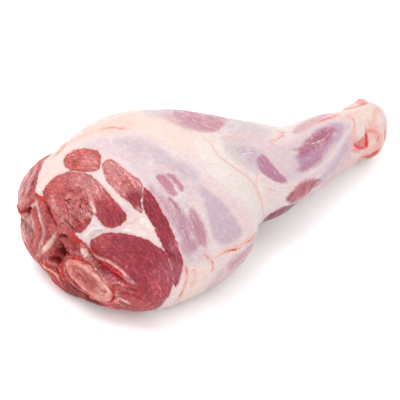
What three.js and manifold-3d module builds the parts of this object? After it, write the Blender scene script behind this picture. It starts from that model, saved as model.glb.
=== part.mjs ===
// A raw bone-in leg of lamb, lying on its side: the thigh with its cut face at -X, the shank and its knuckle
// at +X, and the sawn hip bone in the cut face. Millimetres, +Z up, the leg's length along X, and the origin
// under the middle of its box, on the surface that it lies on.
import * as THREE from "three";
import { mergeVertices } from "three/addons/utils/BufferGeometryUtils.js";
import Module from "manifold-3d";

const wasm = await Module();
wasm.setup();

// ---- Driving dimensions, mm ------------------------------------------------------------------------------
const LEG_LENGTH = 372;
const THIGH_WIDTH = 182;
const THIGH_HEIGHT = 118;
const SHANK_KNEE_RADIUS = 35.1;
const SHANK_HOCK_RADIUS = 21.6;
const NECK_COLLAR_RADIUS = 23; // the knuckle's tendons, where they leave the meat
const NECK_JOINT_RADIUS = 22; // and where they reach the joint
const FACE_RADIUS = 137.5; // the cut face is part of a ball this large
const FACE_RIM = 22; // how softly the cut face turns into the sides
const BONE_GAP = 0.3; // between each bone and the meat that holds it

// How softly neighbouring masses run into each other.
const BODY_BLEND = 16.5;
const LOBE_BLEND = 6.4;
const KNOB_BLEND = 8;

// The skin's grid: steps round the piece, along it, and from each end's pole to its rim.
const MEAT_GRID = { round: 78, along: 38, end: 19 };
const KNUCKLE_GRID = { round: 32, along: 8, end: 10 };

// ---- Masses ----------------------------------------------------------------------------------------------
// Places and sizes here are percentages of the leg's length, the thigh's width and the thigh's height.
function mm([along, across, up]) {
  return new THREE.Vector3(along * LEG_LENGTH, across * THIGH_WIDTH, up * THIGH_HEIGHT).divideScalar(100);
}

// An ellipsoid has its centre at "at", its half sizes in "size", and is turned about +Z by "turn" degrees.
const MUSCLES = {
  thigh: { at: [-25.5, -5, 44.6], size: [28.4, 49.5, 55.4], turn: 0 },
  underside: { at: [-29.4, -2.9, 20.9], size: [21.8, 45.4, 26.2], turn: 6 },
  far_side: { at: [-16.2, 12, 58.5], size: [21.1, 26.5, 34.2], turn: -12 },
  rump: { at: [-21.6, 16.7, 64.8], size: [10.2, 19.9, 28.9], turn: 0 },
  heel: { at: [-19.7, -33.2, 34.1], size: [15.2, 19.6, 34.2], turn: 0 },
  knee: { at: [-0.9, -5.1, 45.2], size: [17.5, 26.9, 35.4], turn: -8 },
  calf: { at: [21.5, -8.2, 36.1], size: [16, 13.6, 21.9], turn: 12 },
};
// What stands proud of the cut face: the flank's flap, its foot, and the ends of the big muscles.
const LOBES = {
  flap: { at: [-37.5, 16.5, 45.8], size: [11.4, 23, 36.8], turn: -20 },
  flap_foot: { at: [-39.2, 15.3, 26.3], size: [10, 19.6, 24.7], turn: 0 },
  round: { at: [-33.3, -8, 57], size: [13.2, 23, 35.4], turn: 0 },
  side: { at: [-29, -31, 36.8], size: [13.1, 23.3, 37.7], turn: 20 },
  under_bone: { at: [-36, -24, 19.2], size: [8.7, 20.6, 15.9], turn: 24 },
};
// What sinks into it: the gap between the flap and the bone, and the cleft that parts the flap from its foot.
const HOLLOWS = {
  gap: { at: [-48.3, -8, 41.5], size: [3.4, 5.5, 11.5], turn: 0 },
  cleft: { at: [-48.3, 16.9, 40], size: [3.6, 8, 4.1], turn: -20 },
};
const KNOBS = {
  joint: { at: [43.7, 1.9, 26.9], size: [7.9, 10.1, 18.3], turn: 10 },
  inner_knob: { at: [44.9, 6.3, 41.1], size: [1.2, 3.6, 6.3], turn: 10 },
  inner_tendon: { at: [40.3, 2.9, 36.2], size: [4.2, 6.3, 7.6], turn: 20 },
  outer_knob: { at: [42.8, -4.6, 15.5], size: [3.9, 7.6, 12.4], turn: 0 },
};
// A limb is a cone with round ends, from one point and radius to another.
const SHANK = { from: [4.9, -17, 41.5], to: [41.7, -1, 26.2], radii: [SHANK_KNEE_RADIUS, SHANK_HOCK_RADIUS] };
const NECK = { from: [34.3, -3, 27.7], to: [43.6, 0, 24.6], radii: [NECK_COLLAR_RADIUS, NECK_JOINT_RADIUS] };
const FACE_CENTRE = mm([-12.3, 10, 12.3]);

// The lines inside each piece that its skin is drawn towards.
const MEAT_SPINE = [
  [-27.5, -4, 43],
  [-14.7, -8, 46],
  [2.5, -14, 44],
  [22, -9, 35.4],
  [39.2, -1.5, 27],
];
const KNUCKLE_SPINE = [
  [36.8, -2, 27],
  [45.1, 1, 23.8],
];

// Each mass is a function that tells how far a point is outside it, in mm, and is negative inside.
function ellipsoid({ at, size, turn }) {
  const centre = mm(at);
  const half = mm(size);
  const axis = new THREE.Vector3(0, 0, 1);
  const angle = THREE.MathUtils.degToRad(-turn);
  const scaled = new THREE.Vector3();
  const steep = new THREE.Vector3();
  return (p) => {
    scaled.subVectors(p, centre).applyAxisAngle(axis, angle).divide(half);
    steep.copy(scaled).divide(half);
    const reach = scaled.length();
    return (reach * (reach - 1)) / Math.max(steep.length(), Number.EPSILON);
  };
}

function ellipsoids(table) {
  return Object.values(table).map(ellipsoid);
}

function limb({ from, to, radii }) {
  const start = mm(from);
  const along = mm(to).sub(start);
  const offset = new THREE.Vector3();
  return (p) => {
    offset.subVectors(p, start);
    const share = THREE.MathUtils.clamp(offset.dot(along) / along.lengthSq(), 0, 1);
    const radius = THREE.MathUtils.lerp(radii[0], radii[1], share);
    return offset.addScaledVector(along, -share).length() - radius;
  };
}

function smoothUnion(a, b, blend) {
  const share = Math.max(blend - Math.abs(a - b), 0) / blend;
  return Math.min(a, b) - (share * share * blend) / 4;
}

function smoothCut(a, cutter, blend) {
  return -smoothUnion(-a, cutter, blend);
}

function blended(masses, blend) {
  return (p) => masses.map((mass) => mass(p)).reduce((a, b) => smoothUnion(a, b, blend));
}

const body = blended([...ellipsoids(MUSCLES), limb(SHANK)], BODY_BLEND);
const lobes = blended(ellipsoids(LOBES), LOBE_BLEND);
const hollows = blended(ellipsoids(HOLLOWS), LOBE_BLEND);

function meatDistance(p) {
  const insideFace = p.x < FACE_CENTRE.x ? FACE_RADIUS - p.distanceTo(FACE_CENTRE) : FACE_RADIUS;
  const cut = smoothCut(body(p), insideFace, FACE_RIM);
  return smoothCut(smoothUnion(cut, lobes(p), LOBE_BLEND), hollows(p), LOBE_BLEND);
}
const knuckleDistance = blended([...ellipsoids(KNOBS), limb(NECK)], KNOB_BLEND);

// ---- Skin: a capsule's grid, shrunk onto the masses from outside ------------------------------------------
const REACH = 200; // farther than any skin is from its spine
const HALVINGS = 30; // of the stretch of a ray that holds the skin

function shrunkOnto(distance, points, grid) {
  const spine = new THREE.CatmullRomCurve3(points.map(mm));
  const length = spine.getLength();
  const skin = new THREE.CapsuleGeometry(1, length, grid.end, grid.round, grid.along);
  const positions = skin.getAttribute("position");
  const side = new THREE.Vector3();
  const up = new THREE.Vector3();
  const ray = new THREE.Vector3();
  const probe = new THREE.Vector3();
  for (let i = 0; i < positions.count; i += 1) {
    const station = THREE.MathUtils.clamp(positions.getY(i), -length / 2, length / 2);
    const share = station / length + 0.5;
    const origin = spine.getPointAt(share);
    const tangent = spine.getTangentAt(share);
    side.set(-tangent.y, tangent.x, 0).normalize();
    up.crossVectors(tangent, side);
    ray.copy(tangent).multiplyScalar(positions.getY(i) - station);
    ray.addScaledVector(side, positions.getX(i)).addScaledVector(up, -positions.getZ(i)).normalize();
    let [inside, outside] = [0, REACH];
    for (let step = 0; step < HALVINGS; step += 1) {
      const middle = (inside + outside) / 2;
      probe.copy(origin).addScaledVector(ray, middle);
      if (distance(probe) < 0) inside = middle;
      else outside = middle;
    }
    probe.copy(origin).addScaledVector(ray, inside);
    positions.setXYZ(i, probe.x, probe.y, probe.z);
  }
  return skin;
}

// ---- Solids ----------------------------------------------------------------------------------------------
const WELD = 1e-3;

function solidOf(geometry) {
  const bare = geometry.clone();
  bare.deleteAttribute("normal");
  bare.deleteAttribute("uv");
  const merged = mergeVertices(bare, WELD);
  return new wasm.Manifold(
    new wasm.Mesh({
      numProp: 3,
      vertProperties: new Float32Array(merged.getAttribute("position").array),
      triVerts: new Uint32Array(merged.index.array),
    }),
  );
}

function geometryOf(solid) {
  const mesh = solid.getMesh();
  const geometry = new THREE.BufferGeometry();
  geometry.setAttribute("position", new THREE.BufferAttribute(mesh.vertProperties, 3));
  geometry.setIndex(new THREE.BufferAttribute(mesh.triVerts, 1));
  geometry.computeVertexNormals();
  return geometry;
}

// ---- Hip bone: a flattened oval shaft that runs into the meat, sawn across where the leg was cut off -----
const HIP_BONE = {
  length: 46,
  width: 21.5,
  depth: 36, // of the shaft, from the sawn face inwards
  proud: 2.7, // how far the sawn face stands out of the meat
  bevel: 1.1,
  taper: 0.04, // of the oval, which is wider at its lower end
  fullness: 0.86, // under 1, which makes the oval's ends fuller than an ellipse's
  sides: 40,
};
const HIP_BONE_AT = mm([-44.2, -27.8, 33]);
const HIP_BONE_OUT = new THREE.Vector3(-0.86, -0.48, 0.15).normalize();
const HIP_BONE_LONG = new THREE.Vector3(0.38, -0.81, -0.44).projectOnPlane(HIP_BONE_OUT).normalize();

function hipBoneOutline(grow) {
  const { length, width, taper, fullness, sides } = HIP_BONE;
  const full = (share) => Math.sign(share) * Math.abs(share) ** fullness;
  const outline = [];
  for (let i = 0; i < sides; i += 1) {
    const angle = (i / sides) * 2 * Math.PI;
    const x = (length / 2 + grow) * full(Math.cos(angle));
    const y = (width / 2 + grow) * full(Math.sin(angle)) * (1 + taper * Math.cos(angle));
    outline.push(new THREE.Vector2(x, y));
  }
  return new THREE.Shape(outline);
}

function hipBone(grow) {
  const { depth, proud, bevel } = HIP_BONE;
  const shaft = new THREE.ExtrudeGeometry(hipBoneOutline(grow - bevel), {
    depth: depth + 2 * grow,
    bevelThickness: bevel,
    bevelSize: bevel,
    bevelSegments: 2,
  });
  shaft.translate(0, 0, proud - depth - grow);
  const across = new THREE.Vector3().crossVectors(HIP_BONE_OUT, HIP_BONE_LONG);
  const placing = new THREE.Matrix4().makeBasis(HIP_BONE_LONG, across, HIP_BONE_OUT);
  return solidOf(shaft.applyMatrix4(placing.setPosition(HIP_BONE_AT)));
}

// ---- Collar: the plane across the shank where its meat ends and the knuckle begins ------------------------
const COLLAR_AT = mm([38.2, -2, 27.7]);
const COLLAR_AXIS = new THREE.Vector3(0.97, 0.18, -0.13).normalize();
const SHAFT = { radius: 12, depth: 24, sides: 32 }; // the shank bone, where it runs into the meat

function alongCollar(geometry, from) {
  const turn = new THREE.Quaternion().setFromUnitVectors(new THREE.Vector3(0, 1, 0), COLLAR_AXIS);
  const middle = COLLAR_AT.clone().addScaledVector(COLLAR_AXIS, from);
  return solidOf(geometry.applyQuaternion(turn).translate(middle.x, middle.y, middle.z));
}

function beyondCollar(offset) {
  return alongCollar(new THREE.BoxGeometry(LEG_LENGTH, LEG_LENGTH, LEG_LENGTH), LEG_LENGTH / 2 + offset);
}

function shaft(grow) {
  const { radius, depth, sides } = SHAFT;
  return alongCollar(new THREE.CylinderGeometry(radius + grow, radius + grow, 2 * (depth + grow), sides), 0);
}

// ---- The pieces ------------------------------------------------------------------------------------------
const UP = [0, 0, 1];
const REST_HEIGHT = 0; // the meat is flat where it lies

function piece(name, solid, color, roughness) {
  const material = new THREE.MeshStandardMaterial({ color, roughness, metalness: 0 });
  const mesh = new THREE.Mesh(geometryOf(solid), material);
  mesh.name = name;
  return mesh;
}

function legMeat() {
  const meat = solidOf(shrunkOnto(meatDistance, MEAT_SPINE, MEAT_GRID)).trimByPlane(UP, REST_HEIGHT);
  return meat.subtract(beyondCollar(0)).subtract(shaft(BONE_GAP)).subtract(hipBone(BONE_GAP));
}

function knuckleBone() {
  const knuckle = solidOf(shrunkOnto(knuckleDistance, KNUCKLE_SPINE, KNUCKLE_GRID));
  return knuckle.intersect(beyondCollar(BONE_GAP)).add(shaft(0));
}

const leg = new THREE.Group();
leg.add(piece("leg_meat", legMeat(), 0xd9a8a8, 0.45));
leg.add(piece("hip_bone", hipBone(0), 0xe8b9a4, 0.5));
leg.add(piece("knuckle_bone", knuckleBone(), 0xf2ddd4, 0.45));

// The origin goes under the middle of the box.
const box = new THREE.Box3().setFromObject(leg, true);
const middle = box.getCenter(new THREE.Vector3());
leg.position.set(-middle.x, -middle.y, -box.min.z);

export default leg;
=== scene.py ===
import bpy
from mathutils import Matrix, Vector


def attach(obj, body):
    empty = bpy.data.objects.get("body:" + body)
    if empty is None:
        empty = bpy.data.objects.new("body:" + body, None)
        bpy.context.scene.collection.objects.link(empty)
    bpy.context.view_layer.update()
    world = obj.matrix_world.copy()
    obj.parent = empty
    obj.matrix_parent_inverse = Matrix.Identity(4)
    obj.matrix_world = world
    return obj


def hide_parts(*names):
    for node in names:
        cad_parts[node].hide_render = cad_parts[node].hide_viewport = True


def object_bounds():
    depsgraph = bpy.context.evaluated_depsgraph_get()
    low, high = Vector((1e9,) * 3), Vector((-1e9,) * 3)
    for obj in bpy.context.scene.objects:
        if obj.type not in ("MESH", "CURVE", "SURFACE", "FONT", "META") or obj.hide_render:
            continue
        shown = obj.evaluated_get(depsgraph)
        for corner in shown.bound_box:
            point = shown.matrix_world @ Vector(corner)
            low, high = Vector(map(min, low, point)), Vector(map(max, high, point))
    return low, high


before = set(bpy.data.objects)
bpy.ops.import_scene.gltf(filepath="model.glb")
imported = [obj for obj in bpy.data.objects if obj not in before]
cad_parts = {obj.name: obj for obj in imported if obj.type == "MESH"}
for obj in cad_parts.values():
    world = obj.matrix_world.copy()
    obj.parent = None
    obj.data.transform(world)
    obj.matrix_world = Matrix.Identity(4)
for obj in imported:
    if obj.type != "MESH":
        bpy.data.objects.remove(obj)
CAD_BOX = [list(corner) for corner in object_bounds()]

import math

import bmesh
import bpy
import numpy as np
from bpy.props import FloatProperty, FloatVectorProperty, PointerProperty
from mathutils import Matrix, Vector
from mathutils.bvhtree import BVHTree

bl_info = {
    "name": "Raw Leg of Lamb",
    "version": (1, 0, 0),
    "blender": (4, 5, 0),
    "location": "View3D > Sidebar > Lamb",
    "description": "Dresses the solids of a raw leg of lamb: its fell and cut muscles, hip bone and knuckle",
    "category": "Object",
}

MM = 0.001


def shade(red, green, blue):
    """A linear colour from sRGB values of 0 to 255."""
    values = (channel / 255 for channel in (red, green, blue))
    return tuple(v / 12.92 if v <= 0.04045 else ((v + 0.055) / 1.055) ** 2.4 for v in values)


# ---- The view ----------------------------------------------------------------
# The camera looks down on the cut face from its left. It aims so that the middle of the leg's box, at half
# its height, is seen at AIM in a square picture of PICTURE units a side.
PICTURE = 400
MIDDLE = PICTURE / 2
AIM = (224, 160)
LENS_IN_PICTURES = 2.86
SPAN = PICTURE * LENS_IN_PICTURES  # the lens's length in the picture's units
SENSOR = 36.0  # mm


def view_axes(settings):
    """The camera's place and its right, up and ahead directions, in metres."""
    azimuth, elevation = settings.azimuth, settings.elevation
    flat = math.cos(elevation)
    back = Vector((math.sin(azimuth) * flat, -math.cos(azimuth) * flat, math.sin(elevation)))
    level = Vector((math.cos(azimuth), math.sin(azimuth), 0))
    place = Vector(settings.target) + back * settings.distance
    yaw = -math.atan((AIM[0] - MIDDLE) / SPAN)
    pitch = math.atan((AIM[1] - MIDDLE) / SPAN * math.cos(yaw))
    ahead = -back * math.cos(yaw) + level * math.sin(yaw)
    right = level * math.cos(yaw) + back * math.sin(yaw)
    up = right.cross(ahead)
    tilted = ahead * math.cos(pitch) + up * math.sin(pitch)
    return place, right, right.cross(tilted), tilted


# ---- Numbers: curves, noise and steps ----------------------------------------
def smoothstep(values, low, high):
    share = np.clip((values - low) / (high - low), 0, 1)
    return share * share * (3 - 2 * share)


def taper(along, share):
    """Rises from 0 to 1 over the first share of a line, and falls back to 0 over the last."""
    return smoothstep(along, 0.0, share) * smoothstep(along, 1.0, 1 - share)


def hump(distance, width):
    """1 on a line and 0 from about two widths away."""
    return np.exp(-((distance / width) ** 2))


def through(points, closed, steps=6):
    """A smooth curve through the points, with so many steps from each to the next."""
    points = np.asarray(points, float)
    count = len(points)
    if closed:
        before, after, last = np.roll(points, 1, 0), np.roll(points, -1, 0), np.roll(points, -2, 0)
        spans = zip(before, points, after, last)
    else:
        ends = np.vstack([2 * points[0] - points[1], points, 2 * points[-1] - points[-2]])
        spans = ((ends[i], ends[i + 1], ends[i + 2], ends[i + 3]) for i in range(count - 1))
    made = []
    for a, b, c, d in spans:
        for t in np.arange(steps) / steps:
            bend = (2 * a - 5 * b + 4 * c - d) * t * t + (3 * b - a - 3 * c + d) * t**3
            made.append(0.5 * (2 * b + (c - a) * t + bend))
    if not closed:
        made.append(points[-1])
    return np.array(made)


SEED_OFFSET = 17.31  # lumps: how far apart the noises of two seeds are taken
HASH_PRIMES = (73856093, 19349663, 83492791)
HASH_MIXER = 1274126177
HASH_BITS = 0xFFFFFFFF
NOISE_GAIN = 1.4


def noise(points, size, seed):
    """Smooth noise from -1 to 1 with lumps of that size."""
    spot = np.asarray(points) / size + seed * SEED_OFFSET
    corner = np.floor(spot).astype(np.int64)
    inner = spot - corner
    fade = inner * inner * inner * (inner * (inner * 6 - 15) + 10)
    total = np.zeros(len(spot))
    for offset in np.ndindex(2, 2, 2):
        key = np.bitwise_xor.reduce((corner + offset) * HASH_PRIMES, axis=1)
        key = (key ^ (key >> 13)) * HASH_MIXER & HASH_BITS
        slopes = np.stack([(key >> shift & 255) / 127.5 - 1 for shift in (0, 8, 16)], 1)
        weight = np.prod(np.where(offset, fade, 1 - fade), 1)
        total += weight * np.sum(slopes * (inner - offset), 1)
    return np.clip(total * NOISE_GAIN, -1, 1)


def rough(points, size, seed, layers=3):
    """Noise with finer and finer lumps on it."""
    total = sum(noise(points, size / 2**i, seed + i) / 2**i for i in range(layers))
    return total / (2 - 2.0 ** (1 - layers))


# ---- Meshes ------------------------------------------------------------------
WELD = 0.01  # mm: corners of a solid that are closer than this are one
RELAX_PULLS = (0.55, -0.25)  # how far a point is drawn to the middle of its neighbours, then pushed back
ATTRIBUTE_KINDS = {1: ("FLOAT", "value"), 3: ("FLOAT_VECTOR", "vector"), 4: ("FLOAT_COLOR", "color")}


def vectors_of(mesh, field):
    flat = np.empty(len(mesh.vertices) * 3, np.float32)
    mesh.vertices.foreach_get(field, flat)
    return flat.reshape(-1, 3).astype(float)


def points_of(mesh):
    """A mesh's points in mm."""
    return vectors_of(mesh, "co") / MM


def put_points(mesh, points):
    mesh.vertices.foreach_set("co", (points * MM).astype(np.float32).ravel())
    mesh.update()


def put_attribute(mesh, name, values):
    """Stores a number, a vector or a colour at each of the mesh's points."""
    kind, field = ATTRIBUTE_KINDS[1 if values.ndim == 1 else values.shape[1]]
    attribute = mesh.attributes.new(name, kind, "POINT")
    attribute.data.foreach_set(field, values.astype(np.float32).ravel())


def linked(name, mesh):
    piece = bpy.data.objects.new(name, mesh)
    bpy.context.scene.collection.objects.link(piece)
    return piece


def solid_copy(name, nodes):
    """One mesh object from copies of CAD nodes, given as {node: how many mm its skin is let out}."""
    whole = bmesh.new()
    for node, swell in nodes.items():
        part = bmesh.new()
        part.from_mesh(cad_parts[node].data)
        bmesh.ops.remove_doubles(part, verts=part.verts, dist=WELD * MM)
        part.normal_update()
        for vertex in part.verts:
            vertex.co += vertex.normal * swell * MM
        loose = bpy.data.meshes.new(node)
        part.to_mesh(loose)
        part.free()
        whole.from_mesh(loose)
        bpy.data.meshes.remove(loose)
    mesh = bpy.data.meshes.new(name)
    whole.to_mesh(mesh)
    whole.free()
    return linked(name, mesh)


def remesh(piece, voxel):
    """Makes the piece one even skin of small squares, with what lies inside it gone."""
    modifier = piece.modifiers.new("skin", "REMESH")
    modifier.mode = "VOXEL"
    modifier.voxel_size = voxel * MM
    modifier.use_smooth_shade = True
    graph = bpy.context.evaluated_depsgraph_get()
    mesh = bpy.data.meshes.new_from_object(piece.evaluated_get(graph))
    piece.modifiers.clear()
    old = piece.data
    piece.data = mesh
    bpy.data.meshes.remove(old)
    mesh.name = piece.name


def relax(mesh, repeats, weight=1.0):
    """Evens out the skin by drawing each point towards its neighbours. Every second draw pushes back."""
    points = points_of(mesh)
    edges = np.empty(len(mesh.edges) * 2, np.int32)
    mesh.edges.foreach_get("vertices", edges)
    a, b = edges.reshape(-1, 2).T
    count = len(points)
    share = 1 / np.maximum(np.bincount(a, minlength=count) + np.bincount(b, minlength=count), 1)
    for _ in range(repeats):
        for pull in RELAX_PULLS:
            drawn = [
                np.bincount(a, points[b, k], count) + np.bincount(b, points[a, k], count) for k in range(3)
            ]
            step = (np.stack(drawn, 1) * share[:, None] - points) * pull
            points += step * np.reshape(weight, (-1, 1))
    put_points(mesh, points)


def refine(mesh, chosen):
    """Halves the squares whose points are all chosen."""
    fine = bmesh.new()
    fine.from_mesh(mesh)
    edges = [edge for edge in fine.edges if all(chosen[vertex.index] for vertex in edge.verts)]
    bmesh.ops.subdivide_edges(fine, edges=edges, cuts=1, use_grid_fill=True)
    fine.to_mesh(mesh)
    fine.free()


# ---- Places on the skin ------------------------------------------------------
FAR = 30.0  # mm, or units of the picture: distances past this are all alike
TINY = 1e-9  # keeps a division from being by nought
SIGHT_REACH = range(700, 1300, 6)  # mm from the camera at which a missed line looks for the nearest skin
HALF_SLICE = 6  # mm: half the length of leg that tells where its middle line runs
CLEAR_OF_LEG = 200  # mm from that line


class Skin:
    """A piece's skin as arrays in mm, with the ways to find a place on it."""

    def __init__(self, mesh, view):
        self.points = points_of(mesh)
        self.normals = vectors_of(mesh, "normal")
        self.view = view
        place, right, up, ahead = (np.array(part) for part in view)
        offset = self.points - place / MM
        depth = offset @ ahead
        self.pixels = np.stack(
            [MIDDLE + SPAN * (offset @ right) / depth, MIDDLE - SPAN * (offset @ up) / depth], 1
        )
        self.facing = -np.sum(self.normals * offset, 1) / np.linalg.norm(offset, axis=1)
        self.tree = BVHTree.FromPolygons(
            [Vector(p) for p in self.points], [tuple(f.vertices) for f in mesh.polygons]
        )

    def seen_at(self, across, down):
        """The place that the camera sees at a point of the picture, or the nearest to that line of sight."""
        place, right, up, ahead = self.view
        line = ahead + right * ((across - MIDDLE) / SPAN) - up * ((down - MIDDLE) / SPAN)
        line.normalize()
        start = place / MM
        hit = self.tree.ray_cast(start, line)[0]
        if hit is None:
            reach = [start + line * along for along in SIGHT_REACH]
            nearest = [self.tree.find_nearest(spot) for spot in reach]
            hit = min(nearest, key=lambda found: found[3])[0]
        return np.array(hit)

    def around(self, along, angle):
        """The place at a share of the leg's length from the cut face, at an angle about its middle line,
        which is 0 degrees towards -Y and 90 degrees upwards."""
        low, high = np.array(CAD_BOX) / MM
        x = low[0] + along * (high[0] - low[0])
        near = self.points[np.abs(self.points[:, 0] - x) < HALF_SLICE]
        middle = (near.min(0) + near.max(0)) / 2
        turn = math.radians(angle)
        out = Vector((0, -math.cos(turn), math.sin(turn)))
        far = Vector((x, middle[1], middle[2])) + out * CLEAR_OF_LEG
        return np.array(self.tree.ray_cast(far, -out)[0])


def inside(skin, outline):
    """How far each point of the skin is inside an outline in the picture, in its units. It is negative
    outside."""
    outline = through(outline, True)
    near = np.all((skin.pixels > outline.min(0) - FAR) & (skin.pixels < outline.max(0) + FAR), 1)
    spots = skin.pixels[near]
    nearest = np.full(len(spots), FAR)
    within = np.zeros(len(spots), bool)
    for a, b in zip(outline, np.roll(outline, -1, 0)):
        run = b - a
        share = np.clip(((spots - a) @ run) / max(run @ run, TINY), 0, 1)
        nearest = np.minimum(nearest, np.linalg.norm(spots - a - share[:, None] * run, axis=1))
        crosses = (a[1] > spots[:, 1]) != (b[1] > spots[:, 1])
        slope = run[0] / (run[1] if abs(run[1]) > TINY else TINY)
        within ^= crosses & (spots[:, 0] < a[0] + (spots[:, 1] - a[1]) * slope)
    found = np.full(len(skin.points), -FAR)
    found[near] = np.where(within, nearest, -nearest)
    return found


SIDEWAYS = 0.7  # the share of a normal towards Y past which the skin there faces sideways


def oval(skin, centre, half_length, half_width, turn):
    """How far each point is inside an oval patch of the skin, in mm. It is turned from the leg's length."""
    offset = skin.points - centre
    normal = skin.normals[np.argmin(np.sum(offset**2, 1))]
    along = np.cross([0, 1, 0], normal) if abs(normal[1]) < SIDEWAYS else np.cross(normal, [0, 0, 1])
    along *= np.sign(along[0]) / np.linalg.norm(along)
    across = np.cross(normal, along)
    angle = math.radians(turn)
    u = offset @ (along * math.cos(angle) + across * math.sin(angle)) / half_length
    v = offset @ (across * math.cos(angle) - along * math.sin(angle)) / half_width
    w = offset @ normal / max(half_length, half_width)
    return np.clip((1 - np.sqrt(u * u + v * v + w * w)) * min(half_length, half_width), -FAR, FAR)


def beside(skin, places):
    """How far each point of the skin is from a line on it, the side it is on with that distance, and how far
    along the line it is, from 0 to 1."""
    near = np.all((skin.points > places.min(0) - FAR) & (skin.points < places.max(0) + FAR), 1)
    spots, normals = skin.points[near], skin.normals[near]
    away = np.full(len(spots), FAR)
    side = np.full(len(spots), FAR)
    along = np.zeros(len(spots))
    runs = np.diff(places, axis=0)
    lengths = np.linalg.norm(runs, axis=1)
    gone = np.concatenate([[0], np.cumsum(lengths)])
    for a, run, length, before in zip(places, runs, lengths, gone):
        share = np.clip(((spots - a) @ run) / max(run @ run, TINY), 0, 1)
        offset = spots - a - share[:, None] * run
        distance = np.linalg.norm(offset, axis=1)
        closer = distance < away
        across = np.cross(run / max(length, TINY), normals)
        away[closer] = distance[closer]
        side[closer] = np.sum(offset * across, 1)[closer]
        along[closer] = ((before + share * length) / gone[-1])[closer]
    full = [np.full(len(skin.points), value) for value in (FAR, FAR, 0.0)]
    for whole, part in zip(full, (away, side, along)):
        whole[near] = part
    return full


# ---- The stage ---------------------------------------------------------------
# The two lights' places from what the camera looks at, and their widths, in metres.
KEY_PLACE = (-0.35, 0.3, 1.4)
KEY_WIDTH = 1.0
FILL_PLACE = (-0.9, -1.5, 0.9)
FILL_WIDTH = 1.2
WHITE = (1, 1, 1)


class LambStageSettings(bpy.types.PropertyGroup):
    azimuth: FloatProperty(
        name="Azimuth",
        description="The way the camera looks, from +Y",
        default=math.radians(-35),
        unit="ROTATION",
    )
    elevation: FloatProperty(
        name="Elevation",
        description="The camera's angle above the floor",
        default=math.radians(35),
        unit="ROTATION",
    )
    distance: FloatProperty(
        name="Distance", description="From the camera to what it looks at", default=1.003, unit="LENGTH"
    )
    target: FloatVectorProperty(
        name="Target",
        description="What the camera looks at",
        default=(-0.004273, 0.009246, 0.0593),
        subtype="XYZ",
    )
    floor_size: FloatProperty(
        name="Floor size", description="The floor's length and width", default=6.0, unit="LENGTH"
    )
    floor_colour: FloatVectorProperty(
        name="Floor", description="The floor's colour", default=(0.97, 0.97, 0.97), subtype="COLOR"
    )
    sky_strength: FloatProperty(
        name="Sky", description="The strength of the light from all round", default=1.4
    )
    key_power: FloatProperty(name="Key light", description="The overhead light", default=10.5, unit="POWER")
    fill_power: FloatProperty(
        name="Fill light", description="The light from the front", default=3.3, unit="POWER"
    )


def area_light(name, place, target, width, power):
    data = bpy.data.lights.new(name, "AREA")
    data.shape = "DISK"
    data.size = width
    data.energy = power
    lamp = bpy.data.objects.new(name, data)
    bpy.context.scene.collection.objects.link(lamp)
    lamp.location = place
    lamp.rotation_euler = (target - place).to_track_quat("-Z", "Y").to_euler()


class LAMB_OT_stage(bpy.types.Operator):
    """Makes the floor, the soft lights and the camera"""

    bl_idname = "lamb.stage"
    bl_label = "Stage"

    def execute(self, context):
        settings = context.scene.lamb_stage
        half = settings.floor_size / 2
        corners = [(-half, -half, 0), (half, -half, 0), (half, half, 0), (-half, half, 0)]
        mesh = bpy.data.meshes.new("floor")
        mesh.from_pydata(corners, [], [(0, 1, 2, 3)])
        floor = linked("floor", mesh)
        mesh.materials.append(floor_material(settings))

        world = bpy.data.worlds.new("studio")
        world.use_nodes = True
        sky = world.node_tree.nodes["Background"]
        sky.inputs["Color"].default_value = (*WHITE, 1)
        sky.inputs["Strength"].default_value = settings.sky_strength
        context.scene.world = world

        target = Vector(settings.target)
        area_light("key", target + Vector(KEY_PLACE), target, KEY_WIDTH, settings.key_power)
        area_light("fill", target + Vector(FILL_PLACE), target, FILL_WIDTH, settings.fill_power)

        place, right, up, ahead = view_axes(settings)
        data = bpy.data.cameras.new("camera")
        data.sensor_width = SENSOR
        data.lens = SENSOR * LENS_IN_PICTURES
        data.dof.use_dof = False
        camera = bpy.data.objects.new("camera", data)
        context.scene.collection.objects.link(camera)
        turn = Matrix((right, up, -ahead)).transposed().to_4x4()
        camera.matrix_world = Matrix.Translation(place) @ turn
        context.scene.camera = camera
        context.scene.view_settings.view_transform = "Standard"
        return {"FINISHED"}


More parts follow.
